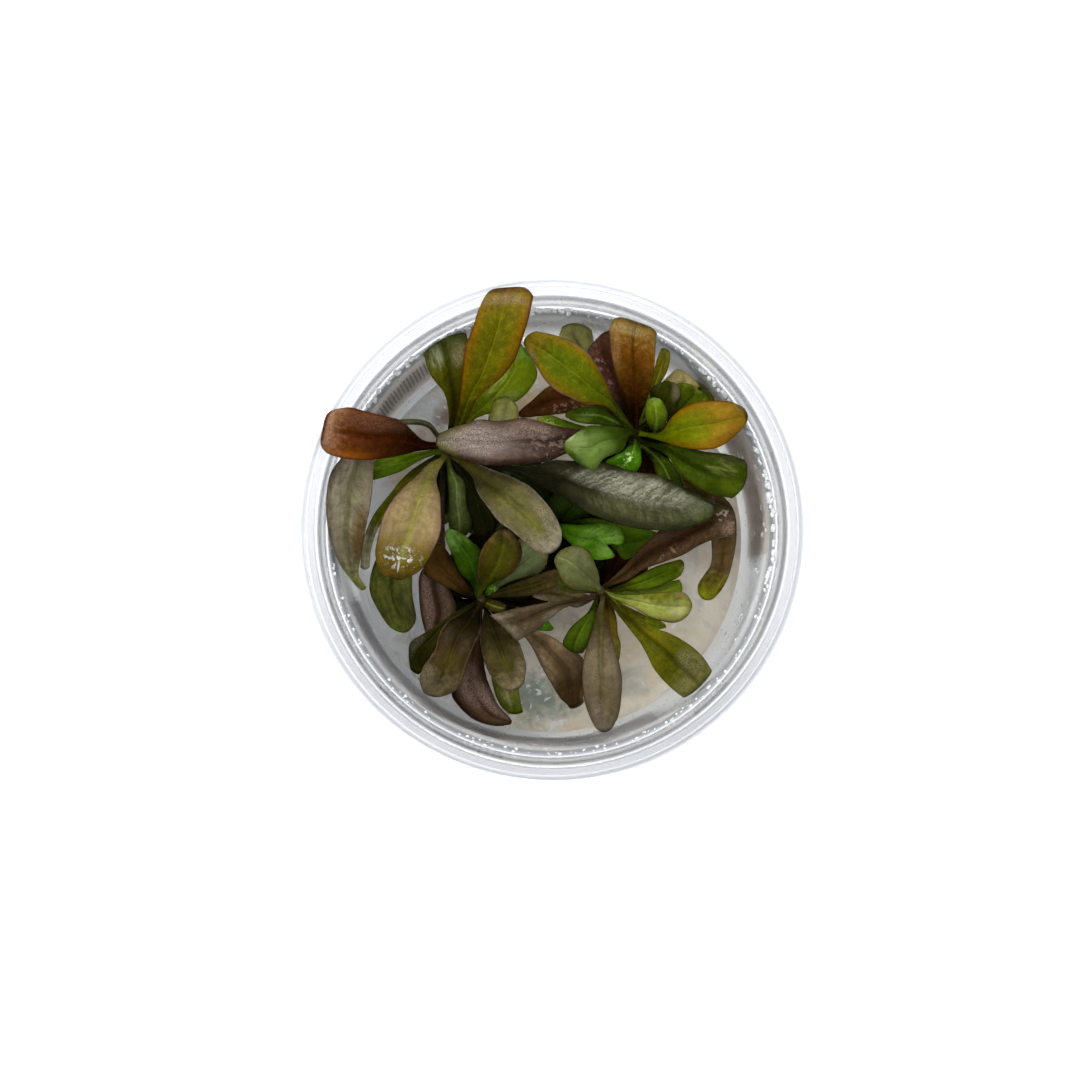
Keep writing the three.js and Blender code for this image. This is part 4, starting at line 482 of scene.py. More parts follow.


# What each leaf has of its own on top of its style. Patches are painted sheen, painted highlights
# and painted shade, and some are the leaf's own colour; each is given by its kind, its place and
# reach across (from -1 to 1) and along the blade, colour and strength.
PATCH_KINDS = ("soft", "grain", "streak", "wet", "comb", "glint")
LOOKS = read_looks("""
leaf_a_top: olive; centre 98 94 2; margin 124 86 3; base 62 62 5; base_to 0.34; rib 132 136 20;
 rib_share 0.4; tip 126 102 24; tip_from 0.9; edge 92 44 10; mottle 0.45; veins 1.2;
 grain 0 0.93 1.1 0.035, 158 134 112, 0.75; soft 0 1 1.3 0.03, 92 58 38, 0.8

leaf_a_behind_top: dark; lift 1.2; centre 68 66 3; margin 78 76 8; base 60 56 6; rib 44 50 4; rib_width 0.6;
 tip 92 94 40; tip_from 0.72; fold 4; grain 0.55 0.68 0.4 0.1, 146 134 98, 0.9;
 streak -0.5 0.74 0.3 0.12, 160 168 130, 0.8

leaf_a_inner: green; lift 1.71; centre 108 124 10; margin 98 116 12; base 54 54 12; base_to 0.3;
 rib 140 150 40; streak -0.4 0.62 0.3 0.16, 158 172 92, 0.7; grain 0.55 0.5 0.4 0.1, 134 140 84, 0.7

leaf_a_left: red; lift 0.95; centre 90 42 2; margin 108 60 6; base 16 2 1; base_to 0.95; rib 66 26 4;
 rib_width 0.5; tip 134 94 64; tip_from 0.9; edge 70 28 14; grain 0.6 0.62 0.4 0.3, 124 90 70, 0.6;
 soft -0.85 0.78 0.2 0.22, 140 76 10, 0.6; grain 0.2 0.95 0.8 0.03, 176 142 112, 0.8;
 soft 0 1 1.3 0.025, 84 36 14, 0.8

leaf_a_centre: taupe; lift 1.05; centre 98 92 40; margin 94 84 52; base 48 36 10; base_to 0.5; rib 78 78 20;
 rib_width 0.7; tip 148 136 112; tip_from 0.88; veins 0.3; gloss 0.1; edge 126 114 90;
 grain -0.6 0.78 0.35 0.16, 152 140 116, 0.8; grain 0.5 0.82 0.4 0.1, 136 128 96, 0.6;
 soft 0 0.74 0.3 0.12, 120 122 44, 0.6

leaf_a_tan: taupe; lift 0.86; gloss 0.07; centre 166 144 94; margin 160 130 94; base 122 110 56;
 base_to 0.35; rib 156 152 64; rib_width 0.9; tip 120 98 12; tip_from 0.7; veins 0.8;
 soft 0 1.02 1.6 0.14, 82 56 4, 0.95; soft 0.06 0.86 0.05 0.05, 250 250 240, 0.9;
 glint 0 0.8 0.75 0.09, 255 255 250, 1; wet 0 0.76 0.7 0.08, 214 206 160, 0.5

leaf_a_far_left: taupe; lift 1.25; gloss 0.07; centre 120 112 86; margin 122 108 90; base 62 60 16;
 rib 84 80 36; rib_width 0.6; veins 1; tip 140 146 60; tip_from 0.95;
 streak -0.3 0.3 0.35 0.4, 98 98 60, 0.7; streak 0.4 0.35 0.4 0.4, 142 130 112, 0.7;
 soft -0.75 0.76 0.5 0.13, 84 58 8, 0.85; streak 0.75 0.6 0.2 0.3, 150 140 116, 0.6

leaf_a_edge_on: dark; lift 1.71; centre 84 80 12; margin 74 76 8; tip 136 132 104; tip_from 0.74;
 edge 150 150 128; rib 60 62 10; rib_width 0.5

leaf_a_under_left: green; lift 1.41; centre 70 92 4; margin 76 96 6; base 88 104 10; rib 84 110 20;
 streak 0.3 0.6 0.5 0.2, 112 136 40, 0.7

leaf_a_great: taupe; gloss 0.07; centre 58 58 22; margin 46 46 14; base 14 10 0; base_to 0.62; tip 74 82 32;
 tip_from 0.95; rib 34 34 10; rib_width 0.6; veins 1.5; vein_gap 5.4; rumple 2.6; streaks 0.7; pits 0.6;
 soft -0.3 0.7 0.5 0.26, 104 104 76, 0.75; comb -0.35 0.68 0.5 0.26, 190 190 168, 0.75;
 comb 0.45 0.7 0.35 0.24, 104 108 72, 0.6; grain -0.1 0.92 0.6 0.06, 130 132 98, 0.8;
 soft 0.9 0.7 0.25 0.4, 44 44 14, 0.8

leaf_a_hanging: brown; lift 1.71; gloss 0.07; centre 74 54 36; margin 70 50 32; base 60 44 24; pits 0.7;
 fold 2; rib 26 18 10; rib_width 0.7; grain 0.5 0.72 0.35 0.3, 140 114 104, 0.8;
 grain -0.5 0.65 0.3 0.25, 116 92 78, 0.7

leaf_a_lowest: dark; lift 1.2; centre 48 62 4; margin 72 88 10; base 22 32 5; base_to 0.6; tip 112 114 50;
 tip_from 0.66; streaks 1.2; soft -0.6 0.8 0.4 0.12, 110 112 58, 0.8; soft 0.6 0.98 0.4 0.05, 84 140 8, 0.9

leaf_b_long: taupe; gloss 0.07; centre 120 102 90; margin 88 66 48; base 44 22 12; base_to 0.95;
 tip 86 82 32; tip_from 0.92; rib 84 62 52; pits 0.9; veins 0.5; streaks 0.8;
 soft 0 0.36 1.5 0.2, 62 36 26, 0.75; grain 0.1 0.8 0.75 0.2, 178 164 154, 0.8;
 soft -0.92 0.6 0.25 0.5, 44 22 16, 0.85; grain 0.55 0.5 0.4 0.16, 156 134 118, 0.8;
 glint -0.1 0.4 0.9 0.14, 176 156 142, 0.35

leaf_b_up_left: olive; centre 92 104 2; margin 124 98 6; base 52 62 2; base_to 0.3; rib 124 136 30;
 rib_share 0.4; tip 144 120 26; tip_from 0.88; edge 116 90 74; mottle 0.45; pits 0.5; veins 1.1;
 grain -0.75 0.93 0.35 0.06, 168 150 104, 0.8

leaf_b_up: red; centre 104 62 3; margin 120 80 12; base 20 2 1; base_to 0.66; rib 70 34 4; tip 136 104 42;
 tip_from 0.72; fold 4; grain -0.3 0.78 0.9 0.05, 176 156 112, 0.7;
 grain -0.8 0.62 0.25 0.2, 140 110 76, 0.6; soft 0 0.86 1.2 0.03, 112 108 56, 0.6

leaf_b_right: olive; centre 112 120 2; margin 130 96 4; base 86 94 2; base_to 0.3; rib 130 144 14;
 rib_share 0.4; tip 152 114 26; tip_from 0.74; tip_soft 0.28; mottle 0.35; edge 124 72 8;
 grain -0.7 0.93 0.4 0.05, 164 150 84, 0.7; soft 0.8 0.75 0.3 0.2, 128 84 4, 0.6

leaf_b_right_lower: dark; lift 1.15; centre 56 72 2; margin 58 72 2; rib 24 34 1; rib_width 0.6;
 tip 64 78 2; base 52 60 5; veins 0.9; fold 3; streak -0.35 0.7 0.4 0.14, 136 144 66, 0.8;
 soft 0.35 0.82 0.45 0.12, 92 108 20, 0.7; grain -0.8 0.7 0.25 0.25, 108 104 66, 0.7

leaf_b_down: green; lift 1.41; centre 62 82 4; margin 62 74 8; base 30 26 5; base_to 0.4; edge 120 130 84

leaf_b_rhomb: green; gloss 0.06; centre 58 82 3; margin 52 72 3; base 46 56 2; base_to 0.3; tip 76 94 10;
 rib 60 78 8; veins 0.1; mottle 0.4; soft -0.3 0.5 0.95 0.26, 116 142 60, 0.7;
 soft 0.4 0.78 0.75 0.18, 146 168 96, 0.7; soft 0.9 0.86 0.3 0.1, 196 206 160, 0.6

leaf_b_behind_up: green; lift 1.41; centre 52 54 4; margin 54 56 8; base 30 32 2; tip 60 60 6; rib 66 74 20;
 soft 0.75 0.8 0.35 0.2, 100 92 66, 0.9

leaf_b_dark_back: dark; lift 2.37; centre 62 74 4; margin 80 92 10; base 28 24 3; base_to 0.6;
 tip 100 108 30

leaf_b_dead: taupe; lift 2.01; gloss 0.07; centre 190 176 112; margin 162 146 84; tip 176 164 96;
 base 120 104 56; rib 150 134 70; veins 0.2

leaf_b_by_wall: dark; lift 2.09; centre 84 90 14; margin 92 86 30

leaf_b_slim: olive; lift 1.71; centre 94 86 5; margin 98 84 10; tip 108 104 30; base 76 86 12

leaf_b_purple: brown; lift 1.5; centre 84 42 24; margin 104 66 48; base 44 30 6; base_to 0.5; pits 0.7;
 gloss 0.1; tip 96 60 40; tip_from 0.84; rib 52 24 10; rib_width 0.6;
 glint -0.6 0.6 0.35 0.3, 176 152 142, 0.5

leaf_b_pale_back: green; lift 2.23; centre 134 132 72; margin 128 122 68; base 92 104 50; tip 130 126 72;
 rib 78 84 40; rib_width 0.5

leaf_b_mauve: brown; lift 2.23; centre 62 34 10; margin 70 46 18; base 88 70 46; base_to 0.5; tip 54 28 6;
 tip_from 0.8; rib 40 18 6; glint -0.6 0.55 0.35 0.3, 150 128 118, 0.45;
 grain 0.2 0.4 0.5 0.12, 110 88 64, 0.6

leaf_b_drooping: brown; lift 1.7; centre 88 68 36; margin 98 80 56; tip 124 124 20; tip_from 0.92;
 rib 66 52 16; base 50 34 14; glint -0.2 0.5 0.6 0.12, 160 138 122, 0.45;
 soft 0.4 1 0.7 0.06, 150 152 30, 0.8; soft -0.8 0.93 0.3 0.08, 84 62 10, 0.7

leaf_c_oval: olive; lift 1.1; centre 64 62 5; margin 66 50 14; base 42 46 5; base_to 0.4; rib 80 84 12;
 tip 96 80 40; tip_from 0.84; edge 96 72 44; rib_width 0.7; pits 0.4

leaf_c_bright: green; lift 1.41; centre 42 68 3; margin 40 62 3; base 27 40 4; base_to 0.3; rib 60 92 20;
 tip 88 120 52; tip_from 0.78; soft 0.75 0.8 0.4 0.14, 52 74 8, 0.9

leaf_c_down_left: olive; lift 0.95; centre 68 52 9; margin 70 52 14; base 6 1 0; base_to 0.66; rib 50 40 8;
 tip 124 112 78; tip_from 0.84; tip_soft 0.2; gloss 0.06; edge 120 100 72;
 grain 0.65 0.82 0.35 0.12, 156 146 122, 0.6; soft -0.75 0.9 0.3 0.1, 100 80 52, 0.7;
 soft 0 0.6 0.4 0.12, 84 76 16, 0.6

leaf_c_down: olive; lift 0.95; centre 62 54 8; margin 82 68 32; base 24 20 2; base_to 0.5; rib 40 38 4;
 rib_width 0.5; gloss 0.06; tip 134 120 86; tip_from 0.88; tip_soft 0.18; edge 128 112 92;
 grain -0.65 0.8 0.35 0.13, 142 126 102, 0.6; grain 0.5 0.84 0.35 0.1, 124 110 72, 0.7;
 soft 0 0.7 0.3 0.12, 104 98 30, 0.5

leaf_c_purple: brown; lift 1.2; centre 76 54 32; margin 54 34 18; base 60 40 26; rib 36 20 10; pits 0.8;
 gloss 0.07; tip 60 42 20; grain -0.6 0.75 0.4 0.2, 150 126 116, 0.9;
 grain 0.05 0.55 0.55 0.2, 140 116 106, 0.85; soft 0.95 0.6 0.2 0.5, 40 14 8, 0.8

leaf_c_green_low: green; lift 1.71; centre 76 82 12; margin 98 92 44; tip 70 78 10;
 grain 0 0.8 0.6 0.12, 164 156 108, 0.9

leaf_c_right: brown; lift 1.48; centre 46 38 10; margin 56 46 18; base 24 20 6; base_to 0.4; rib 70 70 24;
 rib_share 0.4; tip 74 60 32; tip_from 0.76

leaf_c_under_left: olive; centre 42 38 5; margin 58 54 12; base 36 26 8; rib 60 62 10; tip 48 46 6;
 grain 0.6 0.75 0.35 0.15, 116 110 84, 0.8

leaf_c_far: brown; lift 1.35; centre 104 84 54; margin 122 102 74; tip 56 38 6; tip_from 0.68;
 base 92 78 52; pits 0.6; gloss 0.1; fold 4; rib 60 42 18; rib_width 0.6; streaks 0.9;
 soft -0.8 0.86 0.25 0.07, 98 78 36, 0.8

leaf_e_left: taupe; centre 78 64 38; margin 94 78 56; base 92 80 54; gloss 0.07; pits 0.8; rib 66 54 28;
 lift 0.85; grain -0.7 0.5 0.35 0.12, 150 136 116, 0.7; grain 0 0.62 0.5 0.1, 70 52 26, 0.8

leaf_e_up_right: brown; lift 1.2; centre 54 31 4; margin 70 50 22; base 78 58 20; gloss 0.08; rib 40 20 4;
 tip 84 64 38; tip_from 0.86; pits 0.8; rumple 1.4; grain 0.35 0.94 0.6 0.06, 150 128 114, 0.9;
 glint -0.3 0.9 0.4 0.08, 190 172 160, 0.8; glint 0.6 0.5 0.35 0.14, 120 92 66, 0.8;
 soft -0.75 0.75 0.2 0.15, 70 78 26, 0.7

leaf_e_green: green; lift 1.86; centre 58 78 2; margin 66 76 8; base 66 58 12; base_to 0.4; tip 80 86 14;
 rib 76 90 12; soft 0.7 0.95 0.4 0.07, 112 114 58, 0.8

leaf_e_pale: green; centre 154 162 76; margin 148 144 68; base 106 116 10; base_to 0.4; tip 128 120 60;
 tip_from 0.95; rib 164 170 90; edge 132 112 74; soft -0.75 0.55 0.45 0.25, 98 100 8, 0.9;
 soft 0.2 0.8 0.5 0.12, 178 170 118, 0.7; soft -0.8 0.85 0.3 0.12, 128 112 62, 0.8

leaf_e_oval: taupe; gloss 0.07; centre 100 104 56; margin 98 94 50; base 104 110 54; tip 104 98 50;
 rib 124 132 84; edge 92 82 36; grain 0.6 0.5 0.3 0.2, 126 126 90, 0.7

leaf_e_down: taupe; gloss 0.07; centre 110 96 68; margin 98 84 60; base 50 38 2; base_to 0.5; rib 80 76 34;
 rib_width 0.6; edge 74 54 30; grain 0.25 0.85 0.5 0.12, 146 132 112, 0.8;
 grain 0.4 0.5 0.4 0.16, 128 116 90, 0.6; grain -0.5 0.5 0.35 0.15, 122 108 88, 0.6

leaf_e_down_left: green; lift 1.1; centre 66 84 8; margin 50 62 3; base 58 58 8; rib 90 108 24; tip 48 60 6

leaf_e_behind_down: brown; centre 92 78 18; margin 86 72 18; base 58 40 8; tip 108 102 36; tip_from 0.7

leaf_e_down_right: olive; lift 1.15; centre 76 76 3; margin 94 92 8; base 52 50 6; base_to 0.38;
 rib 42 42 2; rib_width 0.5; tip 112 108 52; tip_from 0.76; fold 4; veins 0.7;
 grain -0.45 0.72 0.5 0.12, 142 134 92, 0.9; grain 0.5 0.8 0.5 0.06, 136 130 86, 0.8;
 soft -0.3 0.4 0.3 0.15, 112 104 8, 0.6; soft 0 0.93 1.2 0.05, 62 70 6, 0.8

leaf_e_behind_right: olive; lift 2.09; centre 78 74 5; margin 74 68 5; base 62 58 4; tip 104 114 12;
 tip_from 0.68

leaf_e_mauve: brown; lift 2.09; centre 88 78 46; margin 100 90 64

small_rounded: green; lift 1.56; gloss 0.07; centre 116 112 66; margin 84 82 28; tip 114 116 50;
 rib 96 100 50; base 80 76 40

dark_glossy: green; lift 1.64; centre 72 80 40; margin 48 56 12; base 66 48 18; tip 28 36 4;
 soft -0.1 0.6 0.35 0.25, 112 122 84, 0.7

deep_dark: dark; lift 1.71; centre 34 34 10; margin 24 26 4; base 16 10 2; tip 30 30 10

small_bright: green; centre 98 118 12; margin 80 96 8; base 38 40 6; base_to 0.4;
 soft 0 0.8 0.45 0.12, 136 154 60, 0.9

under_long: green; lift 1.64; centre 84 110 8; margin 78 100 10; base 50 62 8; tip 110 120 36;
 wet 0.2 0.85 0.4 0.06, 206 220 150, 0.8

glossy: green; lift 1.33; centre 54 76 4; margin 60 78 8; base 64 72 4; tip 66 80 10; edge 112 132 52;
 soft -0.5 0.75 0.4 0.12, 96 122 36, 0.8; wet 0.1 0.7 0.5 0.12, 170 186 130, 0.6

under_great: green; lift 1.86; centre 62 108 5; margin 58 100 5; base 16 16 3; base_to 0.4; tip 66 112 8;
 glint 0.1 0.55 0.6 0.2, 206 236 160, 0.9

maroon: red; centre 46 24 8; margin 50 28 10; base 20 10 2; tip 60 36 16

dark_flat: brown; lift 1.94; centre 58 39 10; margin 54 36 12; base 22 16 4; base_to 0.5; tip 58 40 14

teal: green; lift 2.09; gloss 0.07; centre 96 106 68; margin 74 74 36; base 34 40 13; base_to 0.5;
 tip 84 84 46; rib 80 90 50

curled: olive; lift 1.17; centre 58 50 15; margin 60 48 14; base 44 34 14; tip 66 56 18

under_oval: taupe; lift 1.48; centre 70 70 22; margin 66 66 24; tip 50 62 8

beside_pale: green; lift 2.23; centre 110 118 34; margin 104 114 28; tip 94 112 12; tip_from 0.85

wavy: green; lift 2.23; centre 64 104 7; margin 56 86 9; base 38 70 5; tip 76 108 26; rumple 1.6;
 rib 50 88 6; comb -0.4 0.7 0.5 0.3, 128 160 82, 0.7; soft 0.3 0.86 0.5 0.16, 112 146 58, 0.7;
 grain 0.2 0.5 0.5 0.14, 104 138 54, 0.7

darker: dark; lift 2.66; centre 46 70 3; margin 52 72 5; base 6 14 1; base_to 0.5; tip 46 66 8; rib 36 54 2

back: dark; lift 1.79; centre 38 54 10; margin 24 30 4; base 14 18 3

side: dark; centre 30 38 8; margin 24 28 4; base 14 14 3

dark_leaf: dark; centre 34 46 6; margin 30 38 4; base 18 20 3

brown_leaf: brown; centre 44 30 10; margin 40 26 8; base 22 14 4; tip 56 40 16
""")

# Colours of leaves are darkened by this, so that they come out as read in the scene's light
SKIN_GAIN = 0.44


# Colour helpers
def tone(rgb, gain=1.0):
    """A colour given out of 255, as the linear colour that a shader takes."""
    linear = []
    for value in rgb:
        share = value / 255
        bright = share / 12.92 if share <= 0.04045 else ((share + 0.055) / 1.055) ** 2.4
        linear.append(min(1, gain * bright))
    return (*linear, 1)


class Graph:
    """A material being built from nodes."""

    def __init__(self, name):
        self.material = bpy.data.materials.new(name)
        self.material.use_nodes = True
        self.tree = self.material.node_tree
        self.shader = self.tree.nodes["Principled BSDF"]

    def node(self, kind, inputs=None, **settings):
        made = self.tree.nodes.new(kind)
        for key, value in settings.items():
            setattr(made, key, value)
        for key, value in (inputs or {}).items():
            self.put(made.inputs[key], value)
        return made

    def put(self, socket, value):
        if isinstance(value, bpy.types.NodeSocket):
            self.tree.links.new(value, socket)
        else:
            socket.default_value = value

    def math(self, operation, *values):
        made = self.node("ShaderNodeMath", operation=operation)
        for socket, value in zip(made.inputs, values):
            self.put(socket, value)
        return made.outputs[0]

    def times(self, first, *others):
        """The product of all values."""
        for other in others:
            first = self.math("MULTIPLY", first, other)
        return first

    def scaled(self, value, factor, added):
        """value times factor, plus what is added."""
        return self.math("MULTIPLY_ADD", value, factor, added)

    def minus(self, first, second):
        return self.math("SUBTRACT", first, second)

    def away(self, value, centre):
        """How far value is from a centre, on either side."""
        return self.math("ABSOLUTE", self.minus(value, centre))

    def spot(self, x, y, centre, reach):
        """Grows from 0 at the centre to 1 at the edge of an ellipse, and on beyond it."""
        off_x = self.math("DIVIDE", self.minus(x, centre[0]), reach[0])
        off_y = self.math("DIVIDE", self.minus(y, centre[1]), reach[1])
        return self.scaled(off_x, off_x, self.times(off_y, off_y))

    def smooth(self, value, start, end, low=0.0, high=1.0):
        """Goes smoothly from low to high as value goes from start to end."""
        made = self.node("ShaderNodeMapRange", interpolation_type="SMOOTHSTEP")
        for socket, item in zip(made.inputs[:5], (value, start, end, low, high)):
            self.put(socket, item)
        return made.outputs[0]

    def mix(self, share, first, second):
        made = self.node("ShaderNodeMix", data_type="RGBA")
        self.put(made.inputs[0], share)
        self.put(made.inputs[6], first)
        self.put(made.inputs[7], second)
        return made.outputs[2]

    def noise(self, place, scale, detail=3.0, rough=0.55, warp=0.0):
        inputs = {"Vector": place, "Scale": scale, "Detail": detail, "Roughness": rough, "Distortion": warp}
        return self.node("ShaderNodeTexNoise", inputs).outputs["Fac"]

    def place(self, stretch=(1, 1, 1), shift=(0, 0, 0)):
        """Position in millimetres, stretched and shifted."""
        where = self.node("ShaderNodeTexCoord").outputs["Object"]
        inputs = {"Vector": where, "Scale": tuple(value / MM for value in stretch), "Location": shift}
        return self.node("ShaderNodeMapping", inputs).outputs[0]

    def parts(self, vector):
        return self.node("ShaderNodeSeparateXYZ", {"Vector": vector}).outputs

    def uv(self, layer):
        return self.parts(self.node("ShaderNodeUVMap", uv_map=layer).outputs[0])[:2]

    def bump(self, height, strength, distance_mm):
        inputs = {"Height": height, "Strength": strength, "Distance": distance_mm * MM}
        return self.node("ShaderNodeBump", inputs).outputs[0]

    def finish(self, **sockets):
        for key, value in sockets.items():
            self.put(self.shader.inputs[key.replace("_", " ")], value)
        return self.material


# A leaf's skin: colour runs from the midrib to the margins and from base to tip, with side
# veins, mottling, pits darkened with painted shade, patches of painted sheen and painted shade
# and, on some, a painted glitter of highlights, as on a film of water, towards the tip
def leaf_material(name, skin, number):
    look = dict(LOOKS[skin])
    # lift paints a leaf's colours brighter than read, as painted light that offsets the shade on leaves
    # lying low; on a few it paints them a little darker
    gain = SKIN_GAIN * look["lift"]
    for part in ("centre", "margin", "base", "tip", "rib", "edge"):
        if part in look:
            look[part] = tone(look[part], gain)
    pits, streaks, veins, mottle = look["pits"], look["streaks"], look["veins"], look["mottle"]
    g = Graph("skin_" + name)
    across, along = g.uv("blade")
    across_mm, along_mm = g.uv("span")
    place = g.place(shift=(number * 7.3, number * 3.1, 0))
    broad = g.noise(place, 0.28, 2)
    patch = g.noise(place, 0.9, 4, 0.6)
    grain = g.noise(place, 4.5, 3, 0.6)
    fibres = g.node("ShaderNodeCombineXYZ",
                    {"X": g.times(across_mm, 1.5), "Y": g.times(along_mm, 0.3), "Z": number * 5.3})
    streak = g.noise(fibres.outputs[0], 0.9, 4, 0.6, 0.3)
    side = g.scaled(across, 2.0, -1.0)
    off_middle = g.math("ABSOLUTE", side)
    off_rib = g.math("ABSOLUTE", across_mm)
    wobble = g.minus(patch, 0.5)

    # From the middle to the margins, and from the base to the tip
    freckle = g.scaled(g.minus(grain, 0.5), 0.5, g.times(wobble, 0.45))
    margin = g.smooth(g.math("ADD", freckle, off_middle), 0.35, 1.0)
    colour = g.mix(margin, look["centre"], look["margin"])
    length = g.scaled(wobble, 0.25, along)
    colour = g.mix(g.smooth(length, 0.0, look["base_to"] + 0.08, 1.0, 0.0), colour, look["base"])
    # On many leaves the tip's colour is painted sheen, pale where the end turns over; on others it is the
    # tip's own colour
    to_tip = g.smooth(length, look["tip_from"] - look["tip_soft"], look["tip_from"] + 0.08)
    colour = g.mix(to_tip, colour, look["tip"])

    # Midrib and the side veins that leave it; on some leaves their dark colour is painted shade in their
    # grooves
    fade = g.smooth(along, 0.75, 0.97, 1.0, 0.0)
    rib = g.times(g.smooth(off_rib, look["rib_width"] * 0.3, look["rib_width"] * 1.5, 1.0, 0.0), fade)
    phase = g.scaled(wobble, 3.2, g.scaled(off_rib, -0.85, along_mm))
    phase = g.scaled(side, 0.35, g.math("DIVIDE", phase, look["vein_gap"]))
    ridge = g.away(g.math("FRACT", phase), 0.5)
    vein = g.times(g.smooth(ridge, 0.0, 0.16, 1.0, 0.0), g.smooth(off_middle, 0.97, 0.6))
    colour = g.mix(g.times(vein, 0.24 * veins), colour, look["rib"])
    colour = g.mix(g.times(rib, look["rib_share"]), colour, look["rib"])
    # A thin line along the margin, where it rolls down: pale lines are painted highlight; dark ones are
    # painted shade, with some of the margin's own red-brown
    if "edge" in look:
        line = g.smooth(g.scaled(wobble, 0.1, off_middle), 0.86, 0.97)
        colour = g.mix(g.times(line, 0.8), colour, look["edge"])

    # Painted sheen, highlights and shade, and some of the leaf's own colour, in places of their own,
    # each broken up in its own way
    teeth = g.node("ShaderNodeCombineXYZ", {"X": g.times(phase, look["vein_gap"] * 1.3),
                                            "Y": g.times(off_rib, 0.25), "Z": number * 2.7})
    squiggle = g.away(g.noise(place, 1.1, 2, 0.5, 1.4), 0.5)
    broken = {
        "soft": 1.0,
        "grain": g.smooth(grain, 0.32, 0.68),
        "streak": g.smooth(streak, 0.34, 0.66),
        "wet": g.smooth(squiggle, 0.035, 0.015),
        "comb": g.smooth(g.noise(teeth.outputs[0], 1.0, 4, 0.6, 0.2), 0.34, 0.66),
        "glint": g.smooth(g.noise(place, 0.95, 3, 0.6, 0.5), 0.54, 0.6),
    }
    for kind, (place_across, place_along, wide, long, *rgb, most) in look["patches"]:
        far = g.spot(side, along, (place_across, place_along), (wide, long))
        far = g.math("ADD", far, g.scaled(wobble, 1.6, g.scaled(broad, 1.4, -0.7)))
        share = g.times(g.smooth(far, 1.5, -0.1, 0.0, most), broken[kind])
        colour = g.mix(share, colour, tone(rgb, gain))

    # Uneven brightness, darker and lighter grains, and pits darkened with painted shade
    light = g.times(
        g.smooth(patch, 0.3, 0.7, 1 - 0.34 * mottle, 1 + 0.3 * mottle),
        g.smooth(broad, 0.3, 0.7, 0.88, 1.12),
        g.smooth(grain, 0.3, 0.72, 0.86, 1.14),
        g.smooth(streak, 0.32, 0.68, 1 - 0.25 * streaks, 1 + 0.2 * streaks),
        g.scaled(g.smooth(grain, 0.36, 0.28), -0.55 * pits, 1.0),
    )
    shaded = g.node("ShaderNodeVectorMath", {0: colour, "Scale": light}, operation="SCALE")

    cells = g.node("ShaderNodeTexVoronoi", {"Vector": place, "Scale": 2.6}, feature="SMOOTH_F1")
    height = g.scaled(vein, -0.5 * veins, g.times(patch, 0.9))
    height = g.scaled(rib, -1.2, height)
    height = g.scaled(cells.outputs["Distance"], -0.35 - 0.5 * pits, height)
    height = g.scaled(grain, 0.4 + 0.5 * pits, height)
    height = g.scaled(streak, 1.3 * streaks, height)
    rough = g.smooth(grain, 0.3, 0.7, look["rough"] - 0.07, look["rough"] + 0.12)
    return g.finish(Base_Color=shaded.outputs[0], Roughness=rough, Normal=g.bump(height, 0.7, 0.2), IOR=1.45,
                    Specular_IOR_Level=look["gloss"])


def stem_material():
    g = Graph("skin_stem")
    streaks = g.noise(g.place((1, 1, 0.25)), 1.6, 4)
    spots = g.noise(g.place(), 3.5, 3)
    colour = g.mix(g.smooth(streaks, 0.35, 0.65), tone((40, 36, 12)), tone((46, 28, 14)))
    colour = g.mix(g.smooth(spots, 0.5, 0.75, 0, 0.5), colour, tone((22, 16, 6)))
    return g.finish(Base_Color=colour, Roughness=0.45, Specular_IOR_Level=0.1,
                    Normal=g.bump(streaks, 0.5, 0.2), IOR=1.45)


# Rings of painted grey shade in the plastic, where it turns and looks grey from above: radius,
# reach, grey and share
RINGS = (
    (44.6, 0.9, (136, 138, 141), 1.0), (46.3, 0.6, (92, 94, 98), 0.95),
    (47.9, 1.6, (184, 185, 188), 1.0), (49.6, 1.0, (172, 174, 178), 1.0),
)

# How each label shows through the wall, painted into its colour: the label's colour, greyed by
# painted shade on the front and right labels, and how strongly its ticks show
LABEL_TINTS = {
    "label_upper_left": ((244, 237, 230), 0.9),
    "label_front": ((206, 206, 210), 0.0),
    "label_right": ((208, 197, 190), 0.0),
}
TICKS = 40


# The share of dark tick at a place that runs from 0 to 1 along a label
def ticks(g, along, thick, thin):
    stripe = g.math("FRACT", along)
    return g.smooth(g.away(stripe, 0.5), thick, thin, 1.0, 0.0)
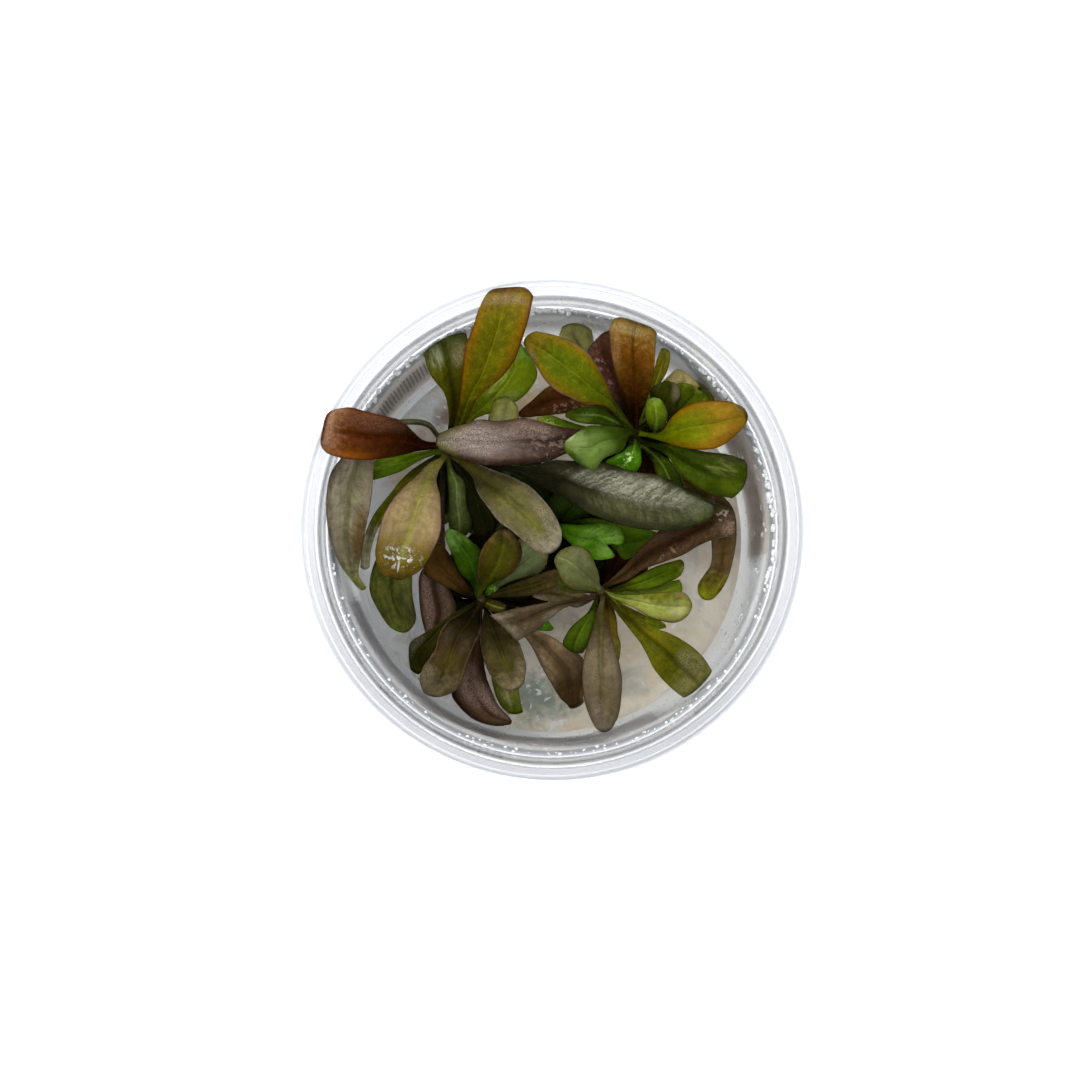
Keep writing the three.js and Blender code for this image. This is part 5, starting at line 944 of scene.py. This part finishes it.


# Clear plastic, with painted grey shade in rings where the lip turns and painted shade low on
# the cup's left side, paler towards the edge of the flat rim and misted on the inside of the wall
def plastic_material():
    g = Graph("clear_plastic")
    haze = g.noise(g.place(), 0.5, 4)
    fog = g.noise(g.place((1, 1, 0.6)), 3.0, 3, 0.6)
    level = g.node("ShaderNodeVectorMath", {0: g.place((1, 1, 0))}, operation="LENGTH").outputs["Value"]
    x, y, z = g.parts(g.place())
    slope = (WALL_HIGH[0] - WALL_LOW[0]) / (WALL_HIGH[1] - WALL_LOW[1])
    inner = g.scaled(z, slope, WALL_LOW[0] - WALL_LOW[1] * slope)
    misted = g.times(g.smooth(level, 45.2, 43.6), g.smooth(g.minus(level, inner), 0.8, 0.4))
    rough = g.scaled(misted, 0.36, g.smooth(haze, 0.35, 0.75, 0.1, 0.14))
    colour = tone((242, 243, 244))
    # Painted grey shade in rings where the plastic turns
    for radius, reach, grey, share in RINGS:
        ring = g.smooth(g.away(level, radius), reach, reach * 0.3, 0.0, share)
        colour = g.mix(ring, colour, tone(grey))
    colour = g.mix(g.smooth(level, 49.6, 51.0), colour, tone((252, 252, 253)))
    # Painted shade low down on the cup's left side
    foot = g.times(g.smooth(z, 21, 18), g.smooth(x, 5, -15))
    colour = g.mix(g.times(foot, 0.8), colour, tone((176, 178, 180)))

    # Where a label sticks to the outside, its look through the wall is painted into the wall's
    # colour: its paper, greyed by painted shade, and its print
    turn = g.math("DEGREES", g.math("ARCTAN2", y, x))
    turn = g.math("ADD", turn, g.times(g.math("LESS_THAN", turn, -60), 360))
    tall = g.times(g.smooth(z, LABEL_LOW + 0.8, LABEL_LOW + 1.6),
                   g.smooth(z, LABEL_HIGH - 0.8, LABEL_HIGH - 1.6))
    for name, (rgb, print_share) in LABEL_TINTS.items():
        first, last = LABELS[name]
        there = g.times(g.smooth(turn, first + 1, first + 2), g.smooth(turn, last - 1, last - 2), tall)
        painted_label_view = g.mix(g.smooth(haze, 0.4, 0.6, 0.0, 0.5), tone(rgb), tone((228, 222, 218)))
        dark = ticks(g, g.times(g.minus(turn, first), TICKS / (last - first)), 0.15, 0.26)
        high = g.times(g.smooth(z, 29, 31), g.smooth(z, 46, 44))
        painted_label_view = g.mix(g.times(dark, high, print_share), painted_label_view, tone((150, 141, 136)))
        colour = g.mix(there, colour, painted_label_view)

    # Clear in the wall, less so at the ledge and the lip, and milky in the flat rim
    ledge = g.smooth(g.away(level, 44.3), 1.0, 0.5, 1.0, 0.4)
    lip = g.smooth(g.away(level, 49.2), 0.9, 0.4, 1.0, 0.3)
    clear = g.times(g.smooth(level, 50.2, 52.6, 0.92, 0.0), g.times(ledge, lip))
    clear = g.times(clear, g.scaled(misted, g.smooth(fog, 0.35, 0.65, -0.16, -0.08), 1.0))
    return g.finish(Base_Color=colour, Roughness=rough, Normal=g.bump(g.times(fog, misted), 0.03, 0.1),
                    IOR=1.49, Transmission_Weight=clear)


# Stains in the gel: place, width, depth, colour and how strong they are
STAINS = (
    (-3, -34, 9, 6, (150, 164, 146), 0.9), (12, -31, 10, 4, (196, 200, 186), 0.7),
    (-27, 22, 4, 3, (224, 190, 152), 0.6), (-22, 27, 3, 3, (150, 98, 62), 0.7),
    (-5, 27, 7, 5, (206, 164, 110), 0.7), (-30, 13, 5, 4, (236, 214, 186), 0.8),
)


def gel_material():
    g = Graph("nutrient_gel")
    cloud = g.noise(g.place(), 0.18, 4)
    ripple = g.noise(g.place(), 0.5, 3, 0.5, 0.4)
    veil = g.noise(g.place(), 0.11, 3, 0.5, 0.8)
    colour = g.mix(g.smooth(cloud, 0.35, 0.7), tone((255, 247, 230)), tone((251, 233, 203)))
    x, y, _ = g.parts(g.place())
    colour = g.mix(g.smooth(x, -14, -26, 0.0, 0.8), colour, tone((248, 252, 255)))
    colour = g.mix(g.smooth(veil, 0.5, 0.66, 0.0, 0.5), colour, tone((206, 206, 192)))
    for centre_x, centre_y, wide, deep, rgb, most in STAINS:
        far = g.spot(x, y, (centre_x, centre_y), (wide, deep))
        far = g.scaled(g.minus(ripple, 0.5), 2.4, far)
        colour = g.mix(g.smooth(far, 1.6, -0.2, 0.0, most), colour, tone(rgb))
    # Painted highlights: white glints mixed into the gel's colour
    glint = g.noise(g.place(), 0.3, 3, 0.55, 1.4)
    colour = g.mix(g.smooth(glint, 0.6, 0.7), colour, tone((255, 255, 255)))
    return g.finish(Base_Color=colour, Roughness=g.smooth(cloud, 0.3, 0.7, 0.08, 0.25),
                    Normal=g.bump(ripple, 0.6, 1.2), Transmission_Weight=0.3, IOR=1.33)


def water_material():
    g = Graph("water_drops")
    film = g.noise(g.place(), 1.5, 2)
    return g.finish(Base_Color=tone((250, 252, 252)), Roughness=g.smooth(film, 0.3, 0.7, 0.0, 0.04),
                    Transmission_Weight=0.6, IOR=1.33)


# Label paper, with plain even ticks on the one whose print shows in the photo
def label_material(name, first, second, ticked, thin):
    g = Graph("paper_" + name)
    along, height = g.uv("blade")
    cloud = g.noise(g.place(), 0.35, 5, 0.6)
    streak = g.noise(g.place((1, 1, 0.18)), 1.4, 4, 0.6)
    speck = g.noise(g.place(), 3.2, 3, 0.7)
    colour = g.mix(g.smooth(cloud, 0.35, 0.7), tone(first), tone(second))
    colour = g.mix(g.smooth(streak, 0.42, 0.75, 0, 0.6), colour, tone((172, 162, 156)))
    colour = g.mix(g.smooth(speck, 0.56, 0.7, 0, 0.45), colour, tone((238, 240, 246)))
    if ticked:
        band = g.times(g.smooth(height, 0.34, 0.38), g.smooth(height, 0.76, 0.72))
        ends = g.times(g.smooth(along, 0.28, 0.3), g.smooth(along, 0.84, 0.82))
        dark = ticks(g, g.times(along, TICKS), 0.17, 0.24)
        colour = g.mix(g.times(dark, band, g.times(ends, 0.75)), colour, tone((34, 34, 38)))
    return g.finish(Base_Color=colour, Roughness=g.smooth(streak, 0.3, 0.7, 0.8, 0.95),
                    Normal=g.bump(streak, 0.3, 0.15), IOR=1.45, Transmission_Weight=thin)


# Where a point read at (x, y) in the rim's plane lies once it is slid to height z along the
# line of sight
def seen(x, y, z):
    share = (EYE.z - z) / (EYE.z - CUP_HEIGHT)
    return Vector((EYE.x + (x - EYE.x) * share, EYE.y + (y - EYE.y) * share, z))


def around(radius, angle, z):
    return Vector((radius * math.cos(angle), radius * math.sin(angle), z))


# The radius of a straight wall at a height, from its lower and its upper (radius, height)
def wall_radius(z, low, high):
    return low[0] + (z - low[1]) * (high[0] - low[0]) / (high[1] - low[1])


def smoothstep(low, high, value):
    share = min(1, max(0, (value - low) / (high - low)))
    return share * share * (3 - 2 * share)


# A point of the smooth line through four readings, between the middle two
def centripetal(points, share):
    p0, p1, p2, p3 = points
    t0 = 0.0
    t1 = t0 + max(1e-4, (p1 - p0).length ** 0.5)
    t2 = t1 + max(1e-4, (p2 - p1).length ** 0.5)
    t3 = t2 + max(1e-4, (p3 - p2).length ** 0.5)
    t = t1 + (t2 - t1) * share
    a1 = p0 * ((t1 - t) / (t1 - t0)) + p1 * ((t - t0) / (t1 - t0))
    a2 = p1 * ((t2 - t) / (t2 - t1)) + p2 * ((t - t1) / (t2 - t1))
    a3 = p2 * ((t3 - t) / (t3 - t2)) + p3 * ((t - t2) / (t3 - t2))
    b1 = a1 * ((t2 - t) / (t2 - t0)) + a2 * ((t - t0) / (t2 - t0))
    b2 = a2 * ((t3 - t) / (t3 - t1)) + a3 * ((t - t1) / (t3 - t1))
    return b1 * ((t2 - t) / (t2 - t1)) + b2 * ((t - t1) / (t2 - t1))


# Points evenly spaced along a smooth line through the points read
def spaced_along(readings, count):
    read = [Vector(reading) for reading in readings]
    read = [read[0] * 2 - read[1], *read, read[-1] * 2 - read[-2]]
    fine = []
    for i in range(1, len(read) - 2):
        fine += [centripetal(read[i - 1:i + 3], step / 12) for step in range(12)]
    fine.append(read[-2])
    reached = [0.0]
    for before, after in zip(fine, fine[1:]):
        reached.append(reached[-1] + (after - before).length)
    spaced = []
    k = 0
    for i in range(count):
        goal = reached[-1] * i / (count - 1)
        while k + 2 < len(reached) and reached[k + 1] < goal:
            k += 1
        share = (goal - reached[k]) / max(1e-6, reached[k + 1] - reached[k])
        spaced.append(fine[k].lerp(fine[k + 1], min(1, share)))
    return spaced


# A smooth value at t (0 to 1) through evenly spaced values
def smooth_value(values, t):
    place = (len(values) - 1) * t
    i = min(int(place), len(values) - 2)
    w = place - i
    p1, p2 = values[i], values[i + 1]
    p0 = values[max(0, i - 1)]
    p3 = values[min(len(values) - 1, i + 2)]
    v0, v1 = (p2 - p0) / 2, (p3 - p1) / 2
    return (2 * p1 - 2 * p2 + v0 + v1) * w ** 3 + (-3 * p1 + 3 * p2 - 2 * v0 - v1) * w ** 2 + v0 * w + p1


# Blades lie this much lower than their readings, to leave room for their relief
SINK = 0.5

# Rows and columns of a blade's mesh: how far apart they lie, and how few or many there may be
ROW_GAP, FEWEST_ROWS, MOST_ROWS = 0.75, 26, 56
COLUMN_GAP, FEWEST_COLUMNS, MOST_COLUMNS = 0.45, 12, 28

# Half a blade's thickness (least and most), the foot of its stalk and the fold at its end
BLADE_HALF = (0.27, 0.5)
JOINT_ROWS = 6
JOINT_WIDTH = 1.3
FOLD_ROWS = 12
FOLD_RADIUS = 0.9
STEEPEST_FOLD = 1.45


# Low relief on a blade, in millimetres: a groove along the midrib, swollen halves, side veins,
# a rumpled surface and wavy margins
def relief(u, t, width, along, look, seed):
    off = abs(u) * width / 2
    broad = min(1, width / 7)
    groove = -0.42 * math.exp(-(off / (look["rib_width"] + 0.45)) ** 2) * broad
    groove *= 1 - smoothstep(0.84, 1, t)
    halves = 0.32 * math.sin(math.pi * abs(u)) * broad
    phase = (along - 0.85 * off) / look["vein_gap"] + 0.35 * u
    across = math.sin(math.pi * min(1, abs(u) * 1.05))
    veins = 0.05 * look["veins"] * math.cos(2 * math.pi * phase) * across * broad
    here = Vector((u * width / 2 + seed * 11.3, along, seed * 5.7))
    rumple = 0.34 * noise.noise(here * 0.24) + 0.12 * noise.noise(here * 0.75)
    wave = 0.3 * abs(u) ** 3 * noise.noise(Vector((along * 0.3, math.copysign(3.1, u) + seed, 0)))
    rolled = -0.4 * smoothstep(0.7, 1, abs(u)) * broad
    return groove + halves + veins + look["rumple"] * rumple * broad + wave * broad + rolled


# The middle surface of a leaf: rows of (place, half thickness, across share, along share,
# across in mm, along in mm), from base to tip
def leaf_rows(reading, look, seed, crown):
    rough_left = spaced_along(reading["left"], 9)
    rough_right = spaced_along(reading["right"], 9)
    longest = sum((b - a).length for a, b in zip(rough_left, rough_left[1:]))
    widest = max((a - b).length for a, b in zip(rough_left, rough_right))
    stations = int(min(MOST_ROWS, max(FEWEST_ROWS, longest / ROW_GAP)))
    strips = int(min(MOST_COLUMNS, max(FEWEST_COLUMNS, widest / COLUMN_GAP))) // 2 * 2
    left = spaced_along(reading["left"], stations)
    right = spaced_along(reading["right"], stations)
    cup = reading.get("cup", 0.4)
    fold = look["fold"]
    blade_share = longest / (longest + fold)
    rows = []
    along = 0.0
    ahead = Vector((0, 1))
    for i in range(stations):
        t = i / (stations - 1)
        side = right[i] - left[i]
        width = side.length
        if width > 1e-4:
            ahead = Vector((-side.y, side.x)).normalized()
        if i:
            along += ((left[i] + right[i]) / 2 - (left[i - 1] + right[i - 1]) / 2).length
        row = []
        for j in range(strips + 1):
            s = 2 * j / strips - 1
            u = 0.6 * s + 0.4 * math.sin(math.pi / 2 * s)
            reach = reading["bulge"] * (1 - abs(u) ** reading.get("square", 2)) * t ** 4
            if "notch" in reading:
                place, wide, deep = reading["notch"]
                reach -= deep * math.exp(-((u - place) / wide) ** 2) * t ** 8
            flat = left[i] + side * ((u + 1) / 2) + ahead * reach
            lift = cup * u * u * min(1, width / 8)
            z = smooth_value(reading["heights"], t) + lift + relief(u, t, width, along, look, seed) - SINK
            closing = 1.0 if fold else max(0.0, 1 - t ** 14) ** 0.5
            half = max(BLADE_HALF[0], BLADE_HALF[1] - 0.05 * width) * max(0.0, 1 - u ** 6) ** 0.5 * closing
            row.append((seen(flat.x, flat.y, z), half, (u + 1) / 2, t * blade_share, u * width / 2, along))
        rows.append(row)
    if fold:
        rows += folded_rows(rows[-1], rows[-3], fold, blade_share, ahead)
    return joint_rows(rows, crown) + rows


# The foot of a leaf stalk, from the stem's middle to the blade's first row
def joint_rows(rows, crown):
    first = rows[0]
    centre = (first[0][0] + first[-1][0]) / 2
    heading = ((rows[2][0][0] + rows[2][-1][0]) / 2 - centre).normalized()
    (x, y), top = CROWNS[crown]
    stem = seen(x, y, top)
    start = Vector((stem.x, stem.y, min(top, centre.z) - 1.6))
    reach = (centre - start).length
    side = first[-1][0] - first[0][0]
    bend = centre - heading * (reach * 0.45)
    made = []
    for k in range(JOINT_ROWS):
        share = k / JOINT_ROWS
        middle = start.lerp(bend, share).lerp(bend.lerp(centre, share), share)
        width = JOINT_WIDTH + (side.length - JOINT_WIDTH) * share
        row = []
        for _, half, across, _, across_mm, along_mm in first:
            u = 2 * across - 1
            thick = max(half, 0.5 * max(0.0, 1 - u ** 6) ** 0.5)
            at = middle + side.normalized() * (u * width / 2)
            thin = thick + (half - thick) * share
            row.append((at, thin, across, 0.0, across_mm, along_mm - reach * (1 - share)))
        made.append(row)
    return made


# The end of a leaf that turns down out of sight, beyond its last row
def folded_rows(last, before, fold, blade_share, ahead):
    forward = Vector((ahead.x, ahead.y, 0))
    slope = (last[len(last) // 2][0] - before[len(before) // 2][0]).normalized()
    start = math.atan2(-slope.z, max(0.05, slope.dot(forward)))
    middle = last[len(last) // 2][0]
    rows = []
    reach, drop = 0.0, 0.0
    for k in range(1, FOLD_ROWS + 1):
        share = k / FOLD_ROWS
        angle = min(STEEPEST_FOLD, start + share * fold / FOLD_RADIUS)
        reach += math.cos(angle) * fold / FOLD_ROWS
        drop += math.sin(angle) * fold / FOLD_ROWS
        narrow = max(0.02, 1 - share ** 3) ** 0.5
        row = []
        for place, half, across, _, across_mm, along_mm in last:
            moved = middle.lerp(place, narrow) + forward * reach
            moved.z -= drop
            thin = half * max(0.0, 1 - share ** 8) ** 0.5
            t = blade_share + (1 - blade_share) * share
            row.append((moved, thin, across, t, across_mm * narrow, along_mm + fold * share))
        rows.append(row)
    return rows


class Shell:
    """Vertices, faces and two UV layers of a mesh being built, in millimetres."""

    def __init__(self):
        self.points, self.faces, self.blade, self.span, self.slots = [], [], [], [], []

    def add(self, point, blade=(0, 0), span=(0, 0)):
        self.points.append(point)
        self.blade.append(blade)
        self.span.append(span)
        return len(self.points) - 1

    def ring(self, radius, z, count):
        return [self.add(around(radius, 2 * math.pi * k / count, z)) for k in range(count)]

    def face(self, corners, slot=0):
        kept = [corner for n, corner in enumerate(corners) if corner != corners[n - 1]]
        if len(set(kept)) >= 3:
            self.faces.append(kept)
            self.slots.append(slot)

    def closed_sheet(self, rows, slot=0):
        """Adds a sheet with a thickness, closed all round, whose two sides meet at its margins."""
        last_row, last_column = len(rows) - 1, len(rows[0]) - 1
        upper, lower = [], []
        for i, row in enumerate(rows):
            upper.append([])
            lower.append([])
            for j, (place, half, across, t, across_mm, along_mm) in enumerate(row):
                along = rows[min(i + 1, last_row)][j][0] - rows[max(i - 1, 0)][j][0]
                sideways = row[min(j + 1, last_column)][0] - row[max(j - 1, 0)][0]
                normal = sideways.cross(along).normalized()
                top = self.add(place + normal * half, (across, t), (across_mm, along_mm))
                edge = j in (0, last_column) or i in (0, last_row)
                below = top if edge else self.add(place - normal * half, (across, t), (across_mm, along_mm))
                upper[-1].append(top)
                lower[-1].append(below)
        for i in range(last_row):
            for j in range(last_column):
                self.face([upper[i][j], upper[i][j + 1], upper[i + 1][j + 1], upper[i + 1][j]], slot)
                self.face([lower[i + 1][j], lower[i + 1][j + 1], lower[i][j + 1], lower[i][j]], slot)

    def loops(self, rings):
        """Joins rings of vertex numbers, each to the next, all the way round."""
        for low, high in zip(rings, rings[1:]):
            for k in range(len(low)):
                after = (k + 1) % len(low)
                self.face([low[k], low[after], high[after], high[k]])

    def ends(self, rings, x, y, low, high):
        """Closes the first and the last ring with a fan about the point (x, y) at each end's height."""
        for ring, z in ((rings[0][::-1], low), (rings[-1], high)):
            tip = self.add(Vector((x, y, z)))
            for k in range(len(ring)):
                self.face([ring[k], ring[(k + 1) % len(ring)], tip])

    def object(self, name, materials):
        mesh = bpy.data.meshes.new(name)
        mesh.from_pydata([point * MM for point in self.points], [], self.faces)
        mesh.polygons.foreach_set("material_index", self.slots)
        mesh.polygons.foreach_set("use_smooth", [True] * len(self.faces))
        for layer_name, values in (("blade", self.blade), ("span", self.span)):
            layer = mesh.uv_layers.new(name=layer_name)
            for loop in mesh.loops:
                layer.data[loop.index].uv = values[loop.vertex_index]
        for material in materials:
            mesh.materials.append(material)
        mesh.validate()
        made = bpy.data.objects.new(name, mesh)
        bpy.context.scene.collection.objects.link(made)
        return made


def place_piece(piece, *nodes):
    """The piece hangs from the root and stands for these CAD nodes, which it hides."""
    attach(piece, "root")
    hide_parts(*nodes)


# A low leaf's outline, from its direction, length and width and how high its base and tip lie:
# pairs of how far along it is and how wide
LOW_LEAF_WIDTHS = ((0.06, 0.16), (0.3, 0.45), (0.6, 1.0), (0.85, 0.85), (1.0, 0.4))


def low_leaf(crown, degrees, length, width, low, high):
    (x, y), _ = CROWNS[crown]
    ahead = Vector((math.cos(math.radians(degrees)), math.sin(math.radians(degrees))))
    side = Vector((ahead.y, -ahead.x))
    edges = {"left": [], "right": []}
    for share, wide in LOW_LEAF_WIDTHS:
        middle = Vector((x, y)) + ahead * (length * share)
        edges["left"].append(middle - side * (width * wide / 2))
        edges["right"].append(middle + side * (width * wide / 2))
    return {**edges, "heights": [low, (low + high) / 2 + 1.5, high], "bulge": 0.8, "cup": 0.5}


def make_leaf(name, number):
    shell = Shell()
    crown = "stem_" + name.split("_")[1]
    shell.closed_sheet(leaf_rows(OUTLINES[name], LOOKS[name], number, crown))
    place_piece(shell.object(name.replace("leaf", "blade"), [leaf_material(name, name, number)]), name)


# A stem with its youngest leaves and the low leaves round it
def make_crown(name, number):
    (x, y), top = CROWNS[name]
    foot = GEL_TOP + WALL_GAP
    middle = seen(x, y, top)
    shell = Shell()
    sides, steps = 18, 22
    rings = []
    for k in range(steps + 1):
        share = k / steps
        z = foot + (top - 1.5 - foot) * share
        ring = []
        for s in range(sides):
            angle = 2 * math.pi * s / sides
            bump = noise.noise(Vector((math.cos(angle) * 1.5, math.sin(angle) * 1.5, z * 0.5 + number * 9)))
            radius = 1.3 - 0.45 * share + 0.14 * bump
            point = Vector((middle.x + radius * math.cos(angle), middle.y + radius * math.sin(angle), z))
            ring.append(shell.add(point, (s / sides, share), (radius * angle, z)))
        rings.append(ring)
    shell.loops(rings)
    shell.ends(rings, middle.x, middle.y, foot, top - 1)
    materials = [STEM_SKIN]
    for heart in HEARTS[name]:
        number += 1
        shell.closed_sheet(leaf_rows(OUTLINES[heart], LOOKS[heart], number, name), len(materials))
        materials.append(leaf_material(heart, heart, number))
    for degrees, length, width, low, high, skin in UNDERSTORY[name]:
        number += 1
        outline = low_leaf(name, degrees, length, width, low, high)
        shell.closed_sheet(leaf_rows(outline, LOOKS[skin], number, name), len(materials))
        materials.append(leaf_material(skin + "_low", skin, number))
    place_piece(shell.object(name.replace("stem", "crown"), materials), name)
    return number


# Rounds off the corners of a profile of (radius, height) points
def rounded(profile, cut):
    smooth = [Vector(profile[0])]
    for before, corner, after in zip(profile, profile[1:], profile[2:]):
        before, corner, after = Vector(before), Vector(corner), Vector(after)
        start = corner + (before - corner).normalized() * min(cut, (before - corner).length * 0.45)
        end = corner + (after - corner).normalized() * min(cut, (after - corner).length * 0.45)
        for share in (0, 0.33, 0.67, 1):
            smooth.append(start.lerp(corner, share).lerp(corner.lerp(end, share), share))
    smooth.append(Vector(profile[-1]))
    return smooth


# Turns a profile about the Z axis; its first and last points lie on the axis
def turned(name, profile, segments, materials):
    shell = Shell()
    rings = [shell.ring(radius, z, segments) for radius, z in profile[1:-1]]
    shell.loops(rings)
    shell.ends(rings, 0, 0, profile[0][1], profile[-1][1])
    return shell.object(name, materials)


# A label with rounded corners, curved round the outside of the wall
LABEL_CORNER = 4.0
LABEL_HALF = 0.12
LABEL_OFF_WALL = 0.6
WALL_MEAN_RADIUS = 43.8


def make_label(name, material):
    first, last = LABELS[name]
    columns, strips = 72, 16
    middle_z = (LABEL_LOW + LABEL_HIGH) / 2
    half_height = (LABEL_HIGH - LABEL_LOW) / 2
    arc = math.radians(last - first) * WALL_MEAN_RADIUS
    rows = []
    for i in range(columns + 1):
        share = i / columns
        angle = math.radians(first + (last - first) * share)
        to_end = min(share, 1 - share) * arc
        inset = LABEL_CORNER - math.sqrt(max(0, LABEL_CORNER ** 2 - max(0, LABEL_CORNER - to_end) ** 2))
        row = []
        for j in range(strips + 1):
            v = 2 * j / strips - 1
            z = middle_z + v * (half_height - inset)
            place = around(wall_radius(z, OUTER_LOW, OUTER_HIGH) + LABEL_OFF_WALL, angle, z)
            row.append((place, LABEL_HALF, share, (z - LABEL_LOW) / (2 * half_height), share * arc, z))
        rows.append(row)
    shell = Shell()
    shell.closed_sheet(rows)
    place_piece(shell.object(name.replace("label", "sticker"), [material]), name)


# A drop lies at a point of a wall: a flat dome on the side that faces inwards
DROP_FLATNESS = 0.55


def add_drop(shell, place, outward, size, sides=8, rings=3):
    up = Vector((0, 0, 1))
    along = outward.cross(up).normalized()
    other = along.cross(outward).normalized()
    made = []
    for k in range(rings):
        lean = math.pi / 2 * k / rings
        ring = []
        for s in range(sides):
            angle = 2 * math.pi * s / sides
            spread = (along * math.cos(angle) + other * math.sin(angle)) * (size * math.cos(lean))
            ring.append(shell.add(place + spread - outward * (size * DROP_FLATNESS * math.sin(lean))))
        made.append(ring)
    shell.loops(made)
    crest = shell.add(place - outward * (size * DROP_FLATNESS))
    foot = shell.add(place + outward * (size * 0.1))
    for s in range(sides):
        after = (s + 1) % sides
        shell.face([made[-1][s], made[-1][after], crest])
        shell.face([made[0][after], made[0][s], foot])


# Condensation: a ring of drops on the ledge, finer ones down the wall and a few bigger ones
LEDGE_DROPS, WALL_DROPS, BIG_DROPS = 460, 1100, 22
LEDGE_FOOT = (44.2, 54.6)


def make_drops(material):
    draw = random.Random(7)
    ledge, wall = Shell(), Shell()
    for _ in range(LEDGE_DROPS):
        angle = draw.uniform(0, 2 * math.pi)
        degrees = math.degrees(angle)
        favoured = degrees < 50 or degrees > 345 or 85 < degrees < 175
        if not favoured and draw.random() < 0.55:
            continue
        share = draw.random()
        place = around(LEDGE_FOOT[0] + 0.8 * share, angle, LEDGE_FOOT[1] + 0.9 * share)
        size = draw.uniform(0.2, 0.56) * (1.3 if favoured else 0.8)
        outward = Vector((math.cos(angle) * 0.75, math.sin(angle) * 0.75, -0.66))
        add_drop(ledge, place, outward, size)

    def add_to_wall(angle, z, smallest, largest, **details):
        place = around(wall_radius(z, WALL_LOW, WALL_HIGH), angle, z)
        add_drop(wall, place, around(1, angle, 0), draw.uniform(smallest, largest), **details)

    for _ in range(WALL_DROPS):
        angle = draw.uniform(0, 2 * math.pi)
        add_to_wall(angle, 54 - 40 * draw.random() ** 1.7, 0.09, 0.26, sides=6, rings=2)
    for _ in range(BIG_DROPS):
        angle = math.radians(draw.uniform(-34, 24))
        add_to_wall(angle, draw.uniform(24, 50), 0.4, 0.8)
    for name, shell in (("drops_ledge", ledge), ("drops_wall", wall)):
        piece = shell.object(name, [material])
        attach(piece, "root")


# The clump
STEM_SKIN = stem_material()
leaves = [name for name in OUTLINES if name.startswith("leaf_")]
for number, name in enumerate(leaves):
    make_leaf(name, number)
heart_number = len(leaves)
for name in CROWNS:
    heart_number = make_crown(name, heart_number)

# The cup and what belongs to it
place_piece(turned("cup_shell", rounded(CUP_PROFILE, 0.35), 144, [plastic_material()]), "cup")
place_piece(turned("gel_puck", rounded(GEL_PROFILE, 0.3), 120, [gel_material()]), "gel")
for name, first, second, ticked, thin in (
    ("upper_left", (230, 224, 218), (238, 234, 228), True, 0.2),
    ("front", (196, 193, 192), (208, 205, 206), False, 0.0),
    ("right", (204, 194, 186), (216, 208, 200), False, 0.15),
):
    make_label("label_" + name, label_material(name, first, second, ticked, thin))
make_drops(water_material())

# A plain pale floor
FLOOR_REACH = 1.5
FLOOR_HEIGHT = -0.0005
corners = [(x * FLOOR_REACH, y * FLOOR_REACH, FLOOR_HEIGHT) for x, y in ((-1, -1), (1, -1), (1, 1), (-1, 1))]
floor_mesh = bpy.data.meshes.new("floor")
floor_mesh.from_pydata(corners, [], [(0, 1, 2, 3)])
floor = bpy.data.objects.new("floor", floor_mesh)
bpy.context.scene.collection.objects.link(floor)
floor_look = Graph("floor")
cloud = floor_look.noise(floor_look.place(), 0.02, 2)
tint = floor_look.mix(cloud, tone((250, 250, 250)), tone((246, 247, 248)))
floor_mesh.materials.append(floor_look.finish(Base_Color=tint, Roughness=0.8))

# Soft studio light: a white surround that darkens overhead, and two softboxes
SURROUND = 1.75
OVERHEAD = 1.6
TURN_FROM, TURN_TO = 0.62, 0.9
SKY_COLOUR = (0.97, 0.985, 1.0, 1)
scene = bpy.context.scene
world = bpy.data.worlds.new("surround")
world.use_nodes = True
sky = world.node_tree
height = sky.nodes.new("ShaderNodeSeparateXYZ")
sky.links.new(sky.nodes.new("ShaderNodeTexCoord").outputs["Generated"], height.inputs[0])
strength = sky.nodes.new("ShaderNodeMapRange")
strength.interpolation_type = "SMOOTHSTEP"
for socket, value in zip(strength.inputs[1:5], (TURN_FROM, TURN_TO, SURROUND, OVERHEAD)):
    socket.default_value = value
sky.links.new(height.outputs["Z"], strength.inputs[0])
sky.links.new(strength.outputs[0], sky.nodes["Background"].inputs["Strength"])
sky.nodes["Background"].inputs["Color"].default_value = SKY_COLOUR
scene.world = world


def softbox(name, place, aim, size, power):
    lamp = bpy.data.lights.new(name, "AREA")
    lamp.shape = "RECTANGLE"
    lamp.size, lamp.size_y = size
    lamp.energy = power
    made = bpy.data.objects.new(name, lamp)
    made.location = place
    made.rotation_euler = (Vector(aim) - Vector(place)).to_track_quat("-Z", "Y").to_euler()
    scene.collection.objects.link(made)


softbox("softbox_back", (0.15, 0.85, 0.95), (0, 0, 0.04), (0.7, 0.4), 14)
softbox("softbox_left", (-0.95, -0.15, 0.75), (0, 0, 0.04), (0.4, 0.6), 8)

scene.view_settings.view_transform = "Standard"
scene.view_settings.look = "None"

# The camera looks almost straight down into the cup, from the photo's place; its shift puts the
# cup where it is in the photo's frame
LENS_MM, SENSOR_MM = 101.0, 36
SHIFT = (-0.01157, -0.00972)
TILT_DEGREES = (2.5, -0.735)
camera_data = bpy.data.cameras.new("camera")
camera_data.sensor_width = SENSOR_MM
camera_data.lens = LENS_MM
camera_data.shift_x, camera_data.shift_y = SHIFT
camera_data.clip_start = 0.01
camera = bpy.data.objects.new("camera", camera_data)
camera.location = EYE * MM
camera.rotation_euler = (math.radians(TILT_DEGREES[0]), math.radians(TILT_DEGREES[1]), 0)
scene.collection.objects.link(camera)
scene.camera = camera
